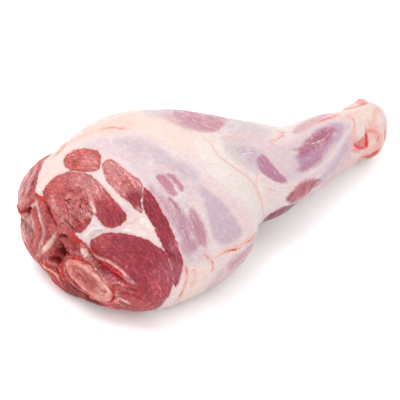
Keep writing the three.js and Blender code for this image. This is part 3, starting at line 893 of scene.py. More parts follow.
# Strokes that shape and tint the knuckle: line, half width and height in mm, tint and strength.
KNUCKLE_STROKES = {
    "crown": ([(370, 103), (379, 110), (385, 121), (385, 134)], 5.0, 0.3, "rose_fat", 0.95),
    "crown_dip": ([(379, 108), (375, 116), (376, 126)], 2.8, -1.0, "peach", 0.7),
    "middle_dip": ([(369, 122), (374, 127), (379, 131)], 4.0, -0.8, "peach", 0.75),
    "tendon": ([(336, 119), (350, 112.5), (362, 109), (373, 107.5)], 3.0, 1.5, "blush", 0.9),
    "tendon_fold": ([(346, 109.5), (356, 106.5), (367, 103.8)], 1.3, -1.0, "coral_fat", 0.8),
    "tendon_top": ([(338, 111), (348, 107), (355, 104)], 1.6, 0.5, "coral_fat", 0.7),
    "tendon_side": ([(355, 117), (358, 128), (357, 140)], 3.0, 0.8, "blush", 0.8),
    "knob": ([(355, 103), (361, 100), (366, 102)], 4.0, 0.5, "pink", 0.95),
    "knob_top": ([(355, 101), (358, 99), (361.5, 98.3), (366, 100)], 1.3, 0.2, "rust", 1.0),
    "knob_foot": ([(358, 104), (363, 103.5), (368, 103)], 1.2, -0.8, "coral_fat", 0.8),
    "gash_bed": ([(353, 144), (361, 146), (368, 140), (369, 131)], 7.0, -1.2, "pink", 0.9),
    "gash_side": ([(372, 131), (379, 138), (378, 146), (369, 150)], 4.4, 0.4, "pink", 0.8),
    "gash_heart": ([(358, 145), (362, 143.5), (365.5, 140)], 2.8, 0.6, "coral", 0.75),
    "gash_low": ([(353.5, 143.5), (357, 146), (361, 148.4), (365, 147.5), (367, 144)],
                 1.5, -1.2, "gash", 1.0),
    "gash_high": ([(365.5, 150), (367.8, 145), (367.8, 138), (367, 130.5)], 3.6, -1.4, "gash", 1.0),
    "gash_glint": ([(369.8, 135.5), (370.2, 139.5)], 0.9, 0.5, "sinew_and_shine", 0.9),
    "gash_tip": ([(367, 131), (372, 130.5), (376, 133.5)], 2.0, -0.6, "coral_fat", 1.0),
    "gash_line": ([(354, 143.5), (358, 142.5), (362, 139.5), (365.5, 134)], 0.8, -0.4, "gash", 0.6),
    "gash_tick": ([(378.3, 135.5), (378, 138.5), (376.3, 141.5)], 0.8, -0.5, "gash", 0.7),
    "gash_foot": ([(351, 151), (355, 150.3), (360, 152)], 1.5, -0.8, "coral_fat", 0.9),
    "low_tendon": ([(344, 168), (354, 160), (364, 154), (374, 149)], 4.0, 0.8, "peach", 0.9),
    "rim": ([(360, 157), (368, 156.5), (376, 153), (382, 147)], 3.0, 0.7, "rust", 1.0),
    "rim_specks": ([(367, 156), (373, 153), (379, 149)], 1.2, -0.8, "gash", 0.7),
    "rim_side": ([(384.5, 129), (385, 135), (384, 142)], 1.6, -0.4, "rust", 0.8),
}
# Patches that the camera doesn't see: share of the leg's length, angle round it, half length and half width
# in mm, turn in degrees, tint, strength and softness.
FAR_PATCHES = [
    (0.30, 150, 46, 26, 12, "mist", 0.9, 8),
    (0.22, 120, 30, 14, -20, "mist", 0.7, 6),
    (0.42, 165, 30, 15, 20, "lavender", 0.8, 6),
    (0.62, 150, 34, 14, 8, "mist", 0.9, 6),
    (0.70, 190, 30, 12, 0, "lavender", 0.7, 5),
    (0.80, 130, 22, 9, 5, "mauve", 0.5, 5),
    (0.25, 200, 50, 30, 0, "blush", 0.8, 10),
    (0.40, 270, 60, 40, 0, "blush", 0.6, 12),
    (0.50, 200, 40, 16, 10, "rose_fat", 0.7, 8),
    (0.30, -20, 40, 14, 0, "heel_rose", 0.5, 8),
    (0.72, 250, 40, 14, 0, "mist", 0.7, 8),
    (0.14, 170, 24, 18, 0, "veil", 0.5, 8),
]
# Windows there: the same, but with no strength and softness.
FAR_WINDOWS = [
    (0.44, 150, 20, 6.5, 24, "lilac"),
    (0.36, 172, 15, 5.0, 30, "mauve"),
    (0.66, 140, 24, 7.0, 8, "magenta"),
    (0.77, 175, 16, 4.5, -6, "red_berry"),
    (0.60, 215, 22, 5.5, 10, "plum_lilac"),
    (0.28, 250, 18, 6.0, -15, "mauve"),
]
# Veins there: half width in mm, strength and line, whose points are shares of the length and angles round it.
FAR_VEINS = [
    (0.8, 0.6, [(0.24, 160), (0.32, 152), (0.40, 158), (0.50, 150), (0.58, 156)]),
    (0.7, 0.6, [(0.50, 150), (0.54, 140), (0.60, 132)]),
    (0.7, 0.7, [(0.16, 190), (0.22, 196), (0.27, 190)]),
    (0.8, 0.6, [(0.62, 185), (0.70, 178), (0.80, 172), (0.86, 176)]),
]


# ---- Materials ---------------------------------------------------------------
# Where a noise goes from none to all of what it does: over nearly all of its values, or over the middle ones.
WIDE = (0.25, 0.75)
MIDDLING = (0.3, 0.7)
MOIST = {"Subsurface Weight": 0.1, "Subsurface Radius": (1.0, 0.35, 0.25), "Subsurface Scale": 0.003}
TISSUE_SHINE = {"Specular IOR Level": 0.18}
FLOOR_SHINE = {"Specular IOR Level": 0.2}
FLOOR_CLOUDS = 0.985  # how bright the floor's clouds are beside the rest of it


class Surface:
    """A material made by joining nodes. Sizes are in mm, and each call gives back the socket that it made."""

    def __init__(self, name):
        self.material = bpy.data.materials.new(name)
        self.material.use_nodes = True
        self.tree = self.material.node_tree
        self.shader = self.tree.nodes["Principled BSDF"]
        place = self.node("ShaderNodeTexCoord", {}, "Object")
        self.place = self.divided(place, (MM, MM, MM))

    def put(self, socket, value):
        if isinstance(value, bpy.types.NodeSocket):
            self.tree.links.new(value, socket)
        elif socket.type == "RGBA" and len(value) == 3:
            socket.default_value = (*value, 1)
        else:
            socket.default_value = value

    def node(self, kind, inputs, output=0, **settings):
        made = self.tree.nodes.new(kind)
        for name, value in settings.items():
            setattr(made, name, value)
        for name, value in inputs.items():
            self.put(made.inputs[name], value)
        return made.outputs[output]

    def attribute(self, name, output="Fac"):
        return self.node("ShaderNodeAttribute", {}, output, attribute_name=name)

    def divided(self, place, sizes):
        return self.node("ShaderNodeVectorMath", {0: place, 1: sizes}, operation="DIVIDE")

    def math(self, operation, a, b=0.0):
        return self.node("ShaderNodeMath", {0: a, 1: b}, operation=operation)

    def step(self, value, low, high, start=0.0, end=1.0):
        """Goes smoothly from start to end as the value goes from low to high."""
        ends = {"Value": value, 1: low, 2: high, 3: start, 4: end}
        return self.node("ShaderNodeMapRange", ends, interpolation_type="SMOOTHSTEP")

    def blend(self, share, a, b, mode="MIX"):
        return self.node("ShaderNodeMix", {0: share, 6: a, 7: b}, 2, data_type="RGBA", blend_type=mode)

    def lumps(self, size, detail=2.0, spread=0.5, at=None, stretch=(1, 1, 1), bent=0.0):
        """Noise from 0 to 1, with lumps of that size. A stretch makes streaks."""
        at = self.place if at is None else at
        if stretch != (1, 1, 1):
            at = self.divided(at, stretch)
        inputs = {"Vector": at, "Scale": 1 / size, "Detail": detail, "Roughness": spread, "Distortion": bent}
        return self.node("ShaderNodeTexNoise", inputs)

    def frayed(self, value, size, reach, low, high, detail=2.0):
        """The value with noise from low to high added, so that what ends at it has no smooth edge."""
        return self.math("ADD", value, self.step(self.lumps(size, detail), *reach, low, high))

    def brightened(self, colour, share, times):
        """The colour so many times brighter in red, green and blue where the share is whole."""
        return self.blend(1.0, colour, self.blend(share, WHITE, times), "MULTIPLY")

    def finish(self, colour, roughness, height, bump, constants):
        self.put(self.shader.inputs["Base Color"], colour)
        self.put(self.shader.inputs["Roughness"], roughness)
        normal = self.node("ShaderNodeBump", {"Height": height, "Strength": bump, "Distance": MM})
        self.put(self.shader.inputs["Normal"], normal)
        for name, value in constants.items():
            self.put(self.shader.inputs[name], value)
        return self.material


def floor_material(settings):
    surface = Surface("pale_floor")
    dim = tuple(channel * FLOOR_CLOUDS for channel in settings.floor_colour)
    colour = surface.blend(surface.lumps(400), dim, tuple(settings.floor_colour))
    roughness = surface.step(surface.lumps(90, detail=3.0), *MIDDLING, 0.62, 0.7)
    return surface.finish(colour, roughness, surface.lumps(3), 0.02, FLOOR_SHINE)


# The noise, or the distance inside an edge, at which each of these starts and is whole.
WINDOW_EDGE = (-1.2, 1.3)
ROSE_CLOUD = (0.4, 0.65)
PALE_STREAK = (0.45, 0.7)
DARK_STREAK = (0.45, 0.3)
PALE_THREAD = (0.5, 0.7)
DARK_THREAD = (0.48, 0.3)


def fell_colour(surface, colours):
    """Fat and fell: soft mottling, pale and dark fibres, and muscle that shows through the windows."""
    grain = surface.attribute("grain", "Vector")
    fibrous = surface.attribute("fibrous")
    mottling = surface.step(surface.lumps(2.2, detail=3.0, spread=0.65), *MIDDLING, 0.93, 1.06)
    colour = surface.blend(1.0, surface.attribute("fell_tint", "Color"), mottling, "MULTIPLY")

    edge = surface.frayed(surface.attribute("window"), 5, WIDE, -0.5, 0.5, detail=1.0)
    edge = surface.frayed(edge, 1.3, WIDE, -0.3, 0.3)
    rosy = surface.step(surface.lumps(7), *ROSE_CLOUD, 0.0, 0.5)
    muscle = surface.blend(rosy, surface.attribute("window_tint", "Color"), colours.rose_lilac)
    streaks = surface.lumps(1.3, detail=3.0, spread=0.6, at=grain, stretch=(8, 1, 1), bent=0.3)
    muscle = surface.blend(surface.step(streaks, *PALE_STREAK, 0.0, 0.15), muscle, colours.mist)
    muscle = surface.blend(surface.step(streaks, *DARK_STREAK, 0.0, 0.15), muscle, colours.berry_lilac)
    colour = surface.blend(surface.step(edge, *WINDOW_EDGE), colour, muscle)

    fibres = surface.lumps(1.1, detail=3.0, spread=0.65, at=grain, stretch=(14, 1, 1), bent=0.4)
    for reach, strength, tint in ((PALE_THREAD, 0.6, colours.fat), (DARK_THREAD, 0.4, colours.berry_lilac)):
        threads = surface.math("MULTIPLY", surface.step(fibres, *reach), fibrous)
        colour = surface.blend(surface.math("MULTIPLY", threads, strength), colour, tint)
    return colour, fibres


CREST_HIGHLIGHT = (1.18, 2.1, 1.95)  # painted highlight: how many times brighter a bundle's wet crest is painted, in red, green and blue
FLECK_GLINT = (1.35, 2.4, 2.3)  # and each of the white flecks, partly fat and partly painted glints
DULL = (0.1, 0.25)  # the green of a tint on which the painted crests and flecks fade, and of one that has none
# The noise at which each of these starts and is whole: painted shade in gaps and pits, painted light on
# ridges, and painted highlights on crests and flecks.
GAP_SHADE = (0.5, 0.36)
PIT_SHADE = (0.42, 0.34)
RIDGE_LIGHT = (0.48, 0.7)
WET_CREST_HIGHLIGHT = (0.53, 0.72)
WHITE_FLECK_GLINT = (0.6, 0.7)


def flesh_colour(surface, colours):
    """Cut muscle: bundles of fibre, with painted shade in their gaps and pits, painted light on their ridges,
    painted highlights on their wet crests, and white flecks that are partly painted glints.
    """
    grain = surface.attribute("grain", "Vector")
    tinted = surface.attribute("flesh_tint", "Color")
    green = surface.node("ShaderNodeSeparateColor", {"Color": tinted}, 1)
    lively = surface.step(green, *DULL, 1.0, 0.0)
    bands = surface.lumps(6, spread=0.55, at=grain, stretch=(2.5, 1, 1), bent=0.6)
    colour = surface.blend(1.0, tinted, surface.step(bands, *MIDDLING, 0.88, 1.14), "MULTIPLY")

    bundles = surface.lumps(1.7, detail=3.0, spread=0.7, at=grain, stretch=(2.4, 1, 1), bent=0.8)
    pits = surface.lumps(1.5, spread=0.6, at=grain, stretch=(1.5, 1, 1))
    clear = surface.math("ADD", 0.4, surface.attribute("coarse"))
    # Painted shade in the gaps between the bundles and in their pits.
    gap_shade = surface.math("MULTIPLY", surface.step(bundles, *GAP_SHADE), clear)
    gap_shade = surface.math("MAXIMUM", gap_shade, surface.step(pits, *PIT_SHADE, 0.0, 0.5))
    colour = surface.blend(surface.math("MULTIPLY", gap_shade, lively), colour, colours.wine)

    # Painted light on the raised bundles, and a painted highlight on their wet crests.
    colour = surface.blend(1.0, colour, surface.step(bundles, *RIDGE_LIGHT, 1.0, 1.4), "MULTIPLY")
    crest_highlight = surface.step(bundles, *WET_CREST_HIGHLIGHT, 0.0, 0.7)
    colour = surface.brightened(colour, surface.math("MULTIPLY", crest_highlight, lively), CREST_HIGHLIGHT)
    # White flecks: partly fat, partly painted glints.
    fleck_glint_noise = surface.lumps(1.1, spread=0.6, at=grain, stretch=(1.8, 1, 1))
    fleck_glint = surface.step(fleck_glint_noise, *WHITE_FLECK_GLINT)
    return surface.brightened(colour, surface.math("MULTIPLY", fleck_glint, lively), FLECK_GLINT), bundles


# How far inside the cut face's edge the flesh starts and is whole, and so for the pale halo outside it.
CUT_EDGE = (-0.7, 0.6)
CUT_HALO = (-2.6, -0.4)
BREAKS = (0.4, 0.58)  # the noise at which a thin line is broken, and whole


def line_share(surface, name, size, fray, width):
    """How much of the thin lines of that name shows, with edges frayed by noise of that size."""
    side = surface.math("ABSOLUTE", surface.attribute(name + "_side"))
    side = surface.frayed(side, size, MIDDLING, -0.3, fray)
    share = surface.math("MULTIPLY", surface.step(side, width, 0.1), surface.attribute(name))
    return surface.math("MULTIPLY", share, surface.step(surface.lumps(3.5), *BREAKS, 0.3, 1.0))


def tissue_material(name, colours):
    """The skin of the leg and of its knuckle: flesh where the cut face is, and fat and fell round it."""
    surface = Surface(name)
    fell, fibres = fell_colour(surface, colours)
    flesh, bundles = flesh_colour(surface, colours)

    edge = surface.frayed(surface.attribute("flesh"), 8, WIDE, -0.6, 0.6, detail=1.0)
    edge = surface.frayed(edge, 2.5, WIDE, -0.5, 0.5, detail=3.0)
    cut = surface.step(edge, *CUT_EDGE)
    fell = surface.blend(surface.step(edge, *CUT_HALO, 0.0, 0.25), fell, colours.pale)
    colour = surface.blend(cut, fell, flesh)
    colour = surface.blend(line_share(surface, "vein", 4, 0.4, 1.2), colour, colours.vein)
    # Thin pale lines in fat's colour: seams and sinews, and the glints, which are painted highlights.
    colour = surface.blend(line_share(surface, "seam", 3, 0.6, 1.0), colour, colours.fat)
    # Painted shade at the bottoms of the hollows.
    colour = surface.blend(surface.attribute("dark"), colour, colours.dark)

    roughness = surface.step(surface.lumps(5, detail=3.0, spread=0.6), *MIDDLING, 0.3, 0.46)
    flesh_height = surface.math("MULTIPLY", surface.step(bundles, *WIDE, -0.6, 0.6), cut)
    fell_height = surface.math("ADD", fibres, surface.lumps(3, detail=3.0))
    height = surface.math("ADD", flesh_height, surface.math("MULTIPLY", fell_height, 0.25))
    return surface.finish(colour, roughness, height, 0.8, MOIST | TISSUE_SHINE)


# ---- Colours and sizes -------------------------------------------------------
LIGHT = 1.6  # how brightly the stage's light shows a white surface of the leg
GLOSS = 0.028  # what the moist surface's own shine adds
DARKEST = 0.002  # the least that a channel is


def tissue(name, description, *channels):
    """A colour setting, from sRGB values of how the tissue looks in the stage's light."""
    default = tuple(max((value - GLOSS) / LIGHT, DARKEST) for value in shade(*channels))
    return FloatVectorProperty(name=name, description=description, default=default, subtype="COLOR")


class LambColours(bpy.types.PropertyGroup):
    cream: tissue("Cream", "The whitest fat on the thigh", 243, 231, 226)
    fat: tissue("Fat", "Clean fat and sinew", 247, 236, 233)
    fell: tissue("Fell", "The thin skin over the fat", 238, 219, 218)
    blush: tissue("Blush", "Warm fat", 245, 218, 208)
    rose_fat: tissue("Rose fat", "Fat with a rosy veil", 238, 208, 208)
    grey_fat: tissue("Grey fat", "Fat between the muscles", 240, 216, 213)
    coral_fat: tissue("Coral fat", "Blood in the warm fat", 236, 158, 140)
    mist: tissue("Mist", "Fell that veils muscle", 224, 202, 208)
    cold_mist: tissue("Cold mist", "Grey fell that veils muscle", 206, 190, 198)
    pink_mist: tissue("Pink mist", "Fell with streaks of muscle", 202, 158, 172)
    peach: tissue("Peach", "Fat with a little blood", 240, 190, 180)
    pink: tissue("Pink", "Wet pink tissue", 244, 172, 166)
    lavender: tissue("Lavender", "Muscle deep under the fell", 207, 183, 197)
    lilac: tissue("Lilac", "Muscle just under the fell", 186, 140, 164)
    mauve: tissue("Mauve", "Grey muscle under the fell", 198, 146, 160)
    rose_lilac: tissue("Rose lilac", "Rosy muscle under the fell", 198, 134, 150)
    berry_lilac: tissue("Berry lilac", "Muscle streaks beside the cut", 180, 110, 134)
    plum_lilac: tissue("Plum lilac", "Dark muscle under the fell", 142, 72, 90)
    magenta: tissue("Magenta", "Bare muscle on the shin", 188, 134, 162)
    violet: tissue("Violet", "The calf's muscle", 194, 150, 182)
    cold_lilac: tissue("Cold lilac", "Blue-grey fell along the shank", 202, 176, 196)
    berry: tissue("Berry", "Cut muscle with a blue tinge", 194, 102, 118)
    red_berry: tissue("Red berry", "Bare red muscle on the shank", 178, 88, 98)
    heel_rose: tissue("Heel rose", "The heel's thin fell", 218, 188, 190)
    veil: tissue("Veil", "Pink membranes on the flap", 222, 162, 160)
    pale: tissue("Pale", "Pale membranes on the cut face", 236, 176, 170)
    salmon: tissue("Salmon", "Pale cut muscle", 224, 146, 145)
    coral: tissue("Coral", "Bright cut muscle", 214, 104, 101)
    rosy: tissue("Rosy", "Cut muscle", 194, 92, 96)
    red: tissue("Red", "Redder cut muscle", 194, 74, 72)
    deep: tissue("Deep", "Dark cut muscle", 166, 74, 84)
    plum: tissue("Plum", "Dark muscle with a blue tinge", 176, 78, 90)
    # Also painted shade: the gaps and pits between fibre bundles, and the sunk grooves, gaps, cracks and
    # creases of the cut face, are drawn towards this tint.
    wine: tissue("Wine", "The darkest muscle", 140, 38, 46)
    blood: tissue("Blood", "Wet torn edges", 214, 66, 62)
    crimson: tissue("Crimson", "The wall of the slot beside the bone", 222, 66, 78)
    # Painted light: a tint brighter than white, so that sinews lying in shaded hollows show lit; it is also
    # the painted highlight on the wedge.
    glint: tissue("Glint", "The whitest sinew, which lies in hollows", 290, 240, 232)
    # Painted shade: the tint that darkens the bottoms of hollows and of the deepest grooves.
    dark: tissue("Dark", "The bottom of a hollow", 142, 42, 44)
    wedge: tissue("Wedge", "The wedge of fat in the torn side", 246, 200, 188)
    # Real sinews and linings, and also the painted highlights of the shine strokes and of the knuckle's gash
    # glint.
    sinew_and_shine: tissue("Sinew", "White seams and linings", 246, 220, 214)
    vein: tissue("Vein", "Small blood vessels", 214, 96, 82)
    gash: tissue("Gash", "Blood in the knuckle's gash", 224, 62, 66)
    rust: tissue("Rust", "The knuckle's rim", 216, 124, 108)


class LambLegSettings(bpy.types.PropertyGroup):
    skin_step: FloatProperty(
        name="Skin step", description="The size of the skin's squares", default=1.4 * MM, unit="LENGTH"
    )
    relief: FloatProperty(
        name="Relief", description="How strongly muscles, folds and seams stand out", default=1.0
    )
    rim_place: FloatVectorProperty(
        name="Cut rim",
        description="The middle of the rim of the cut face",
        default=(-0.12374, -0.02722, 0.0829),
        subtype="XYZ",
    )
    rim_outward: FloatVectorProperty(
        name="Cut direction",
        description="The way the cut face looks",
        default=(-0.947, -0.228, 0.227),
        subtype="XYZ",
    )
    collar_place: FloatVectorProperty(
        name="Collar",
        description="The middle of the plane where the knuckle begins",
        default=(0.13783, 0.00561, 0.03269),
        subtype="XYZ",
    )
    collar_axis: FloatVectorProperty(
        name="Collar direction",
        description="The way from the meat to the knuckle",
        default=(0.97, 0.18, -0.13),
        subtype="XYZ",
    )
    shaft_radius: FloatProperty(
        name="Shaft radius", description="Half the shank bone's width", default=12 * MM, unit="LENGTH"
    )
    shaft_depth: FloatProperty(
        name="Shaft depth",
        description="How far the shank bone runs into the meat",
        default=24 * MM,
        unit="LENGTH",
    )


class LambBoneSettings(bpy.types.PropertyGroup):
    bone_step: FloatProperty(
        name="Bone step", description="The size of the bone skin's squares", default=0.7 * MM, unit="LENGTH"
    )
    sawn_place: FloatVectorProperty(
        name="Sawn face",
        description="The middle of the sawn face",
        default=(-0.17197, -0.04318, 0.03951),
        subtype="XYZ",
    )
    sawn_outward: FloatVectorProperty(
        name="Sawn direction",
        description="The way the sawn face looks",
        default=(-0.86, -0.48, 0.15),
        subtype="XYZ",
    )
    sawn_long: FloatVectorProperty(
        name="Long axis",
        description="The sawn oval's long way",
        default=(0.38, -0.81, -0.44),
        subtype="XYZ",
    )
    sawn_length: FloatProperty(
        name="Sawn length", description="The sawn oval's length", default=46 * MM, unit="LENGTH"
    )
    sawn_width: FloatProperty(
        name="Sawn width", description="The sawn oval's width", default=21.5 * MM, unit="LENGTH"
    )
    proud: FloatProperty(
        name="Proud", description="How far the bone stands out of the meat", default=2.7 * MM, unit="LENGTH"
    )
    rim: tissue("Rim", "The bone's hard rim", 222, 128, 118)
    core: tissue("Core", "The bone's spongy core", 196, 98, 92)
    marrow: tissue("Marrow", "Blood in the core's pores", 162, 56, 54)
    cap: tissue("Cap", "The pale cap at the rim's thick end", 246, 204, 190)
    torn: tissue("Torn", "Blood on the rim's torn edge", 226, 112, 98)


LEAST_SLOPE = 1e-3  # keeps the middle of the oval from a division by nought


class SawnPlane:
    """Places in the frame of the hip bone's sawn face, in mm: along its oval, across it, and out of it."""

    def __init__(self, settings):
        self.place = np.array(settings.sawn_place) / MM
        self.out = np.array(settings.sawn_outward) / np.linalg.norm(settings.sawn_outward)
        long = np.array(settings.sawn_long) - self.out * (self.out @ np.array(settings.sawn_long))
        self.long = long / np.linalg.norm(long)
        self.across = np.cross(self.out, self.long)
        self.half = (settings.sawn_length / MM / 2, settings.sawn_width / MM / 2)

    def locate(self, points):
        offset = points - self.place
        return np.stack([offset @ self.long, offset @ self.across, offset @ self.out], 1)

    def edge(self, located):
        """How far each place is inside the sawn oval."""
        reach = np.hypot(located[:, 0] / self.half[0], located[:, 1] / self.half[1])
        slope = np.hypot(located[:, 0] / self.half[0] ** 2, located[:, 1] / self.half[1] ** 2)
        return (1 - reach) * reach / np.maximum(slope, LEAST_SLOPE)


# ---- What is raised and painted on a skin ------------------------------------
# Noises over a skin: the size of their lumps in mm and their seed, and the layers of some rough ones.
STROKE_NOISE = (4, 71)
HOLLOW_NOISE = (6, 5)
PATCH_NOISE = (9, 11, 2)
CONTOUR_NOISE = (15, 97)
FAR_PATCH_NOISE = (16, 21)
FAR_WINDOW_NOISE = (9, 31)
KNUCKLE_NOISE = (11, 41)
BED_NOISE = (5, 51)
BED_LUMP_NOISE = (4, 52)
BUNDLE_NOISE = (3.4, 7)
TORN_NOISE = (9, 3)
FELL_NOISE = (18, 13)
FINE_FELL_NOISE = (5, 14)
BONE_NOISE = (6, 61)
BONE_SIDE_NOISE = (6, 62)
BONE_BLOOD_NOISE = (3, 63)

ARC_RADIUS = 45  # mm: of an arc along which the grain isn't stretched
GRAIN_DEPTH = 0.35  # how much the grain changes with depth, so that it runs on over slanted skin
BARE_FIBRES = 0.12  # how much the threads of fibre show outside the fibrous patches
STROKE_TIP = 0.3  # how much of a stroke is left at its tips
STROKE_TAPER = 0.2  # of its length
STROKE_WANDER = 0.3  # how far its edge strays, in its half widths
STROKE_EDGE = (1.5, 0.5)  # where its tint starts and is whole, in its half widths
LINE_TAPER = 0.12  # of its length
LINE_REACH = (4.5, 3.0)  # where a line's own part of the skin ends, in its half widths
PLACE_STEPS = 4  # from each point of a line to the next
# How far outside its edge a cut end and a window turn the grain, and from what share on a patch does.
END_GRAIN = 1.5
WINDOW_GRAIN = 3
PATCH_GRAIN = 0.1
# How squarely the skin faces the camera where the fell's marks start and are whole, where the cut face's do,
# and where those of the far side fade.
NEAR_SIDE = (-0.35, 0.0)
FACE_SIDE = (-0.08, 0.08)
FAR_SIDE = (-0.15, 0.1)


def tint_towards(layer, tint, share):
    """Draws a layer of tints towards another tint by the share at each point."""
    layer += (np.array(tint) - layer) * np.clip(share, 0, 1)[:, None]


class Marks:
    """The tints, edges and heights at each point of a skin, before they are put on its mesh."""

    def __init__(self, skin, colours):
        count = len(skin.points)
        self.skin = skin
        self.colours = {name: tuple(getattr(colours, name)) for name in LambColours.__annotations__}
        self.height = np.zeros(count)
        self.fell, self.flesh, self.windows = (
            np.tile(self.colours[name], (count, 1)).astype(float) for name in ("fell", "rosy", "lilac")
        )
        self.edges = {name: np.full(count, -FAR) for name in ("flesh", "window")}
        self.lines = {name: [np.full(count, FAR), np.zeros(count)] for name in ("vein", "seam")}
        self.dark = np.zeros(count)
        self.fibrous = np.full(count, BARE_FIBRES)
        self.grain = skin.points.copy()
        self.unevenness = noise(skin.points, *STROKE_NOISE)
        self.seen = smoothstep(skin.facing, *NEAR_SIDE)

    def stroke(self, places, width, height, tint, strength, layer):
        """Raises and tints a band along a line."""
        away, _, along = beside(self.skin, places)
        ends = STROKE_TIP + (1 - STROKE_TIP) * taper(along, STROKE_TAPER)
        away = away + STROKE_WANDER * width * self.unevenness
        self.height += height * hump(away, width) * ends
        share = smoothstep(away / width, *STROKE_EDGE) * ends * strength
        tint_towards(layer, self.colours[tint], share)

    def line(self, kind, places, width, strength):
        """Notes a thin line, which the material draws."""
        away, side, along = beside(self.skin, places)
        lateral, shown = self.lines[kind]
        share = strength * taper(along, LINE_TAPER) * smoothstep(away / width, *LINE_REACH)
        closer = share > shown
        lateral[closer] = (side / width)[closer]
        shown[closer] = share[closer]

    def align(self, chosen, way):
        """Turns the grain of the chosen points along a direction in the picture, or round a point of it."""
        right, up, ahead = (np.array(axis) for axis in self.skin.view[1:])
        points = self.skin.points[chosen]
        if isinstance(way, tuple):
            offset = points - self.skin.seen_at(*way)
            flat = offset @ right + 1j * (offset @ up)
            turn = np.angle(flat / flat.mean())
            self.grain[chosen] = np.stack([turn * ARC_RADIUS, np.abs(flat), offset @ ahead * GRAIN_DEPTH], 1)
            return
        turn = math.radians(way)
        along = right * math.cos(turn) - up * math.sin(turn)
        across = right * math.sin(turn) + up * math.cos(turn)
        self.grain[chosen] = points @ np.stack([along, across, ahead * GRAIN_DEPTH], 1)

    def places(self, points):
        """A line on the skin through points of the picture."""
        return through([self.skin.seen_at(*point) for point in points], False, PLACE_STEPS)


AT_FACE = (-8, -3)  # mm past the rim's plane where the cut face's marks start and are whole
# How far inside its outline a muscle starts and ends to rise, and the groove along that outline.
BULGE_RISE = (-1.0, 9.0)
GROOVE_DEPTH = 0.25
GROOVE_WIDTH = 1.2
END_EDGE = (-2.0, 2.5)  # where a muscle's tint starts and is whole
SPOT_HEART = 0.35  # the share of a spot's radius in which it is whole
HOLLOW_WANDER = 0.35  # how far a hollow's edge strays, in its radii
HOLLOW_EDGE = (1.35, 0.5)  # where its painted shade starts and is whole, in its radii
SEAM_WIDTH = 0.8  # mm, of half a seam
SEAM_STRENGTH = 0.4


def mark_cut_face(marks, face):
    skin = marks.skin
    at_face = smoothstep(face, *AT_FACE)
    seen = smoothstep(skin.facing, *FACE_SIDE)
    whole = np.full(len(skin.points), -FAR)
    for name, end in CUT_ENDS.items():
        edge = inside(skin, end["outline"])
        marks.height += end["bulge"] * smoothstep(edge, *BULGE_RISE) * at_face
        if name != "raw_side":
            marks.height -= GROOVE_DEPTH * hump(edge, GROOVE_WIDTH) * at_face
        whole = np.maximum(whole, edge)
        tint_towards(marks.flesh, marks.colours[end["tint"]], smoothstep(edge, *END_EDGE) * at_face)
        marks.align((edge > -END_GRAIN) & (at_face > 0), end["fibres"])
    whole = np.where(at_face > 0, whole * seen + face * (1 - seen), -FAR)
    marks.edges["flesh"] = np.clip(whole, -FAR, FAR)
    for (across, down), radius, tint, strength in FACE_SPOTS:
        away = np.hypot(skin.pixels[:, 0] - across, skin.pixels[:, 1] - down)
        share = smoothstep(away / radius, 1, SPOT_HEART) * at_face
        tint_towards(marks.flesh, marks.colours[tint], share * strength)


def mark_face_strokes(marks):
    skin = marks.skin
    for points, width, height, tint, strength in FACE_STROKES.values():
        marks.stroke(marks.places(points), width, height, tint, strength, marks.flesh)
    for place, radius, depth, strength in HOLLOWS.values():
        away = np.linalg.norm(skin.points - skin.seen_at(*place), axis=1)
        away *= 1 + HOLLOW_WANDER * noise(skin.points, *HOLLOW_NOISE)
        # Each hollow sinks the skin and gets painted shade at its bottom.
        marks.height -= depth * hump(away, radius)
        marks.dark = np.maximum(marks.dark, strength * smoothstep(away / radius, *HOLLOW_EDGE))
    for points in SEAMS:
        marks.line("seam", marks.places(points), SEAM_WIDTH, SEAM_STRENGTH)


CONTOUR_STRENGTH = 0.25
PATCH_WANDER = 0.45  # how far a patch's edge strays, in its softnesses
FAR_PATCH_WANDER = 3  # and those of the far side's patches and windows, in mm
FAR_WINDOW_WANDER = 1.2
WINDOW_REACH = 5  # how far outside a window's edge the skin still takes its tint
FAR_WINDOW_REACH = 4
WINDOW_TURN = 0.25  # how far past edge-on the skin still has windows
WINDOW_DEPTH = 0.5  # mm
WINDOW_SLOPE = (-1.5, 2.5)  # how far inside its edge it starts and ends to sink
SINEW_AND_GLINT_WIDTH = 0.8  # of the half width in its row


def mottle(marks):
    """Soft clouds and faint contour lines over all of the fell."""
    points = marks.skin.points
    for size, seed, tint, low, high, strength in MOTTLES:
        cloud = rough(points, size, seed)
        tint_towards(marks.fell, marks.colours[tint], smoothstep(cloud, low, high) * strength)
    contour = smoothstep(np.abs(rough(points, *CONTOUR_NOISE)), 0.05, 0.01)
    tint_towards(marks.fell, marks.colours["peach"], contour * CONTOUR_STRENGTH)


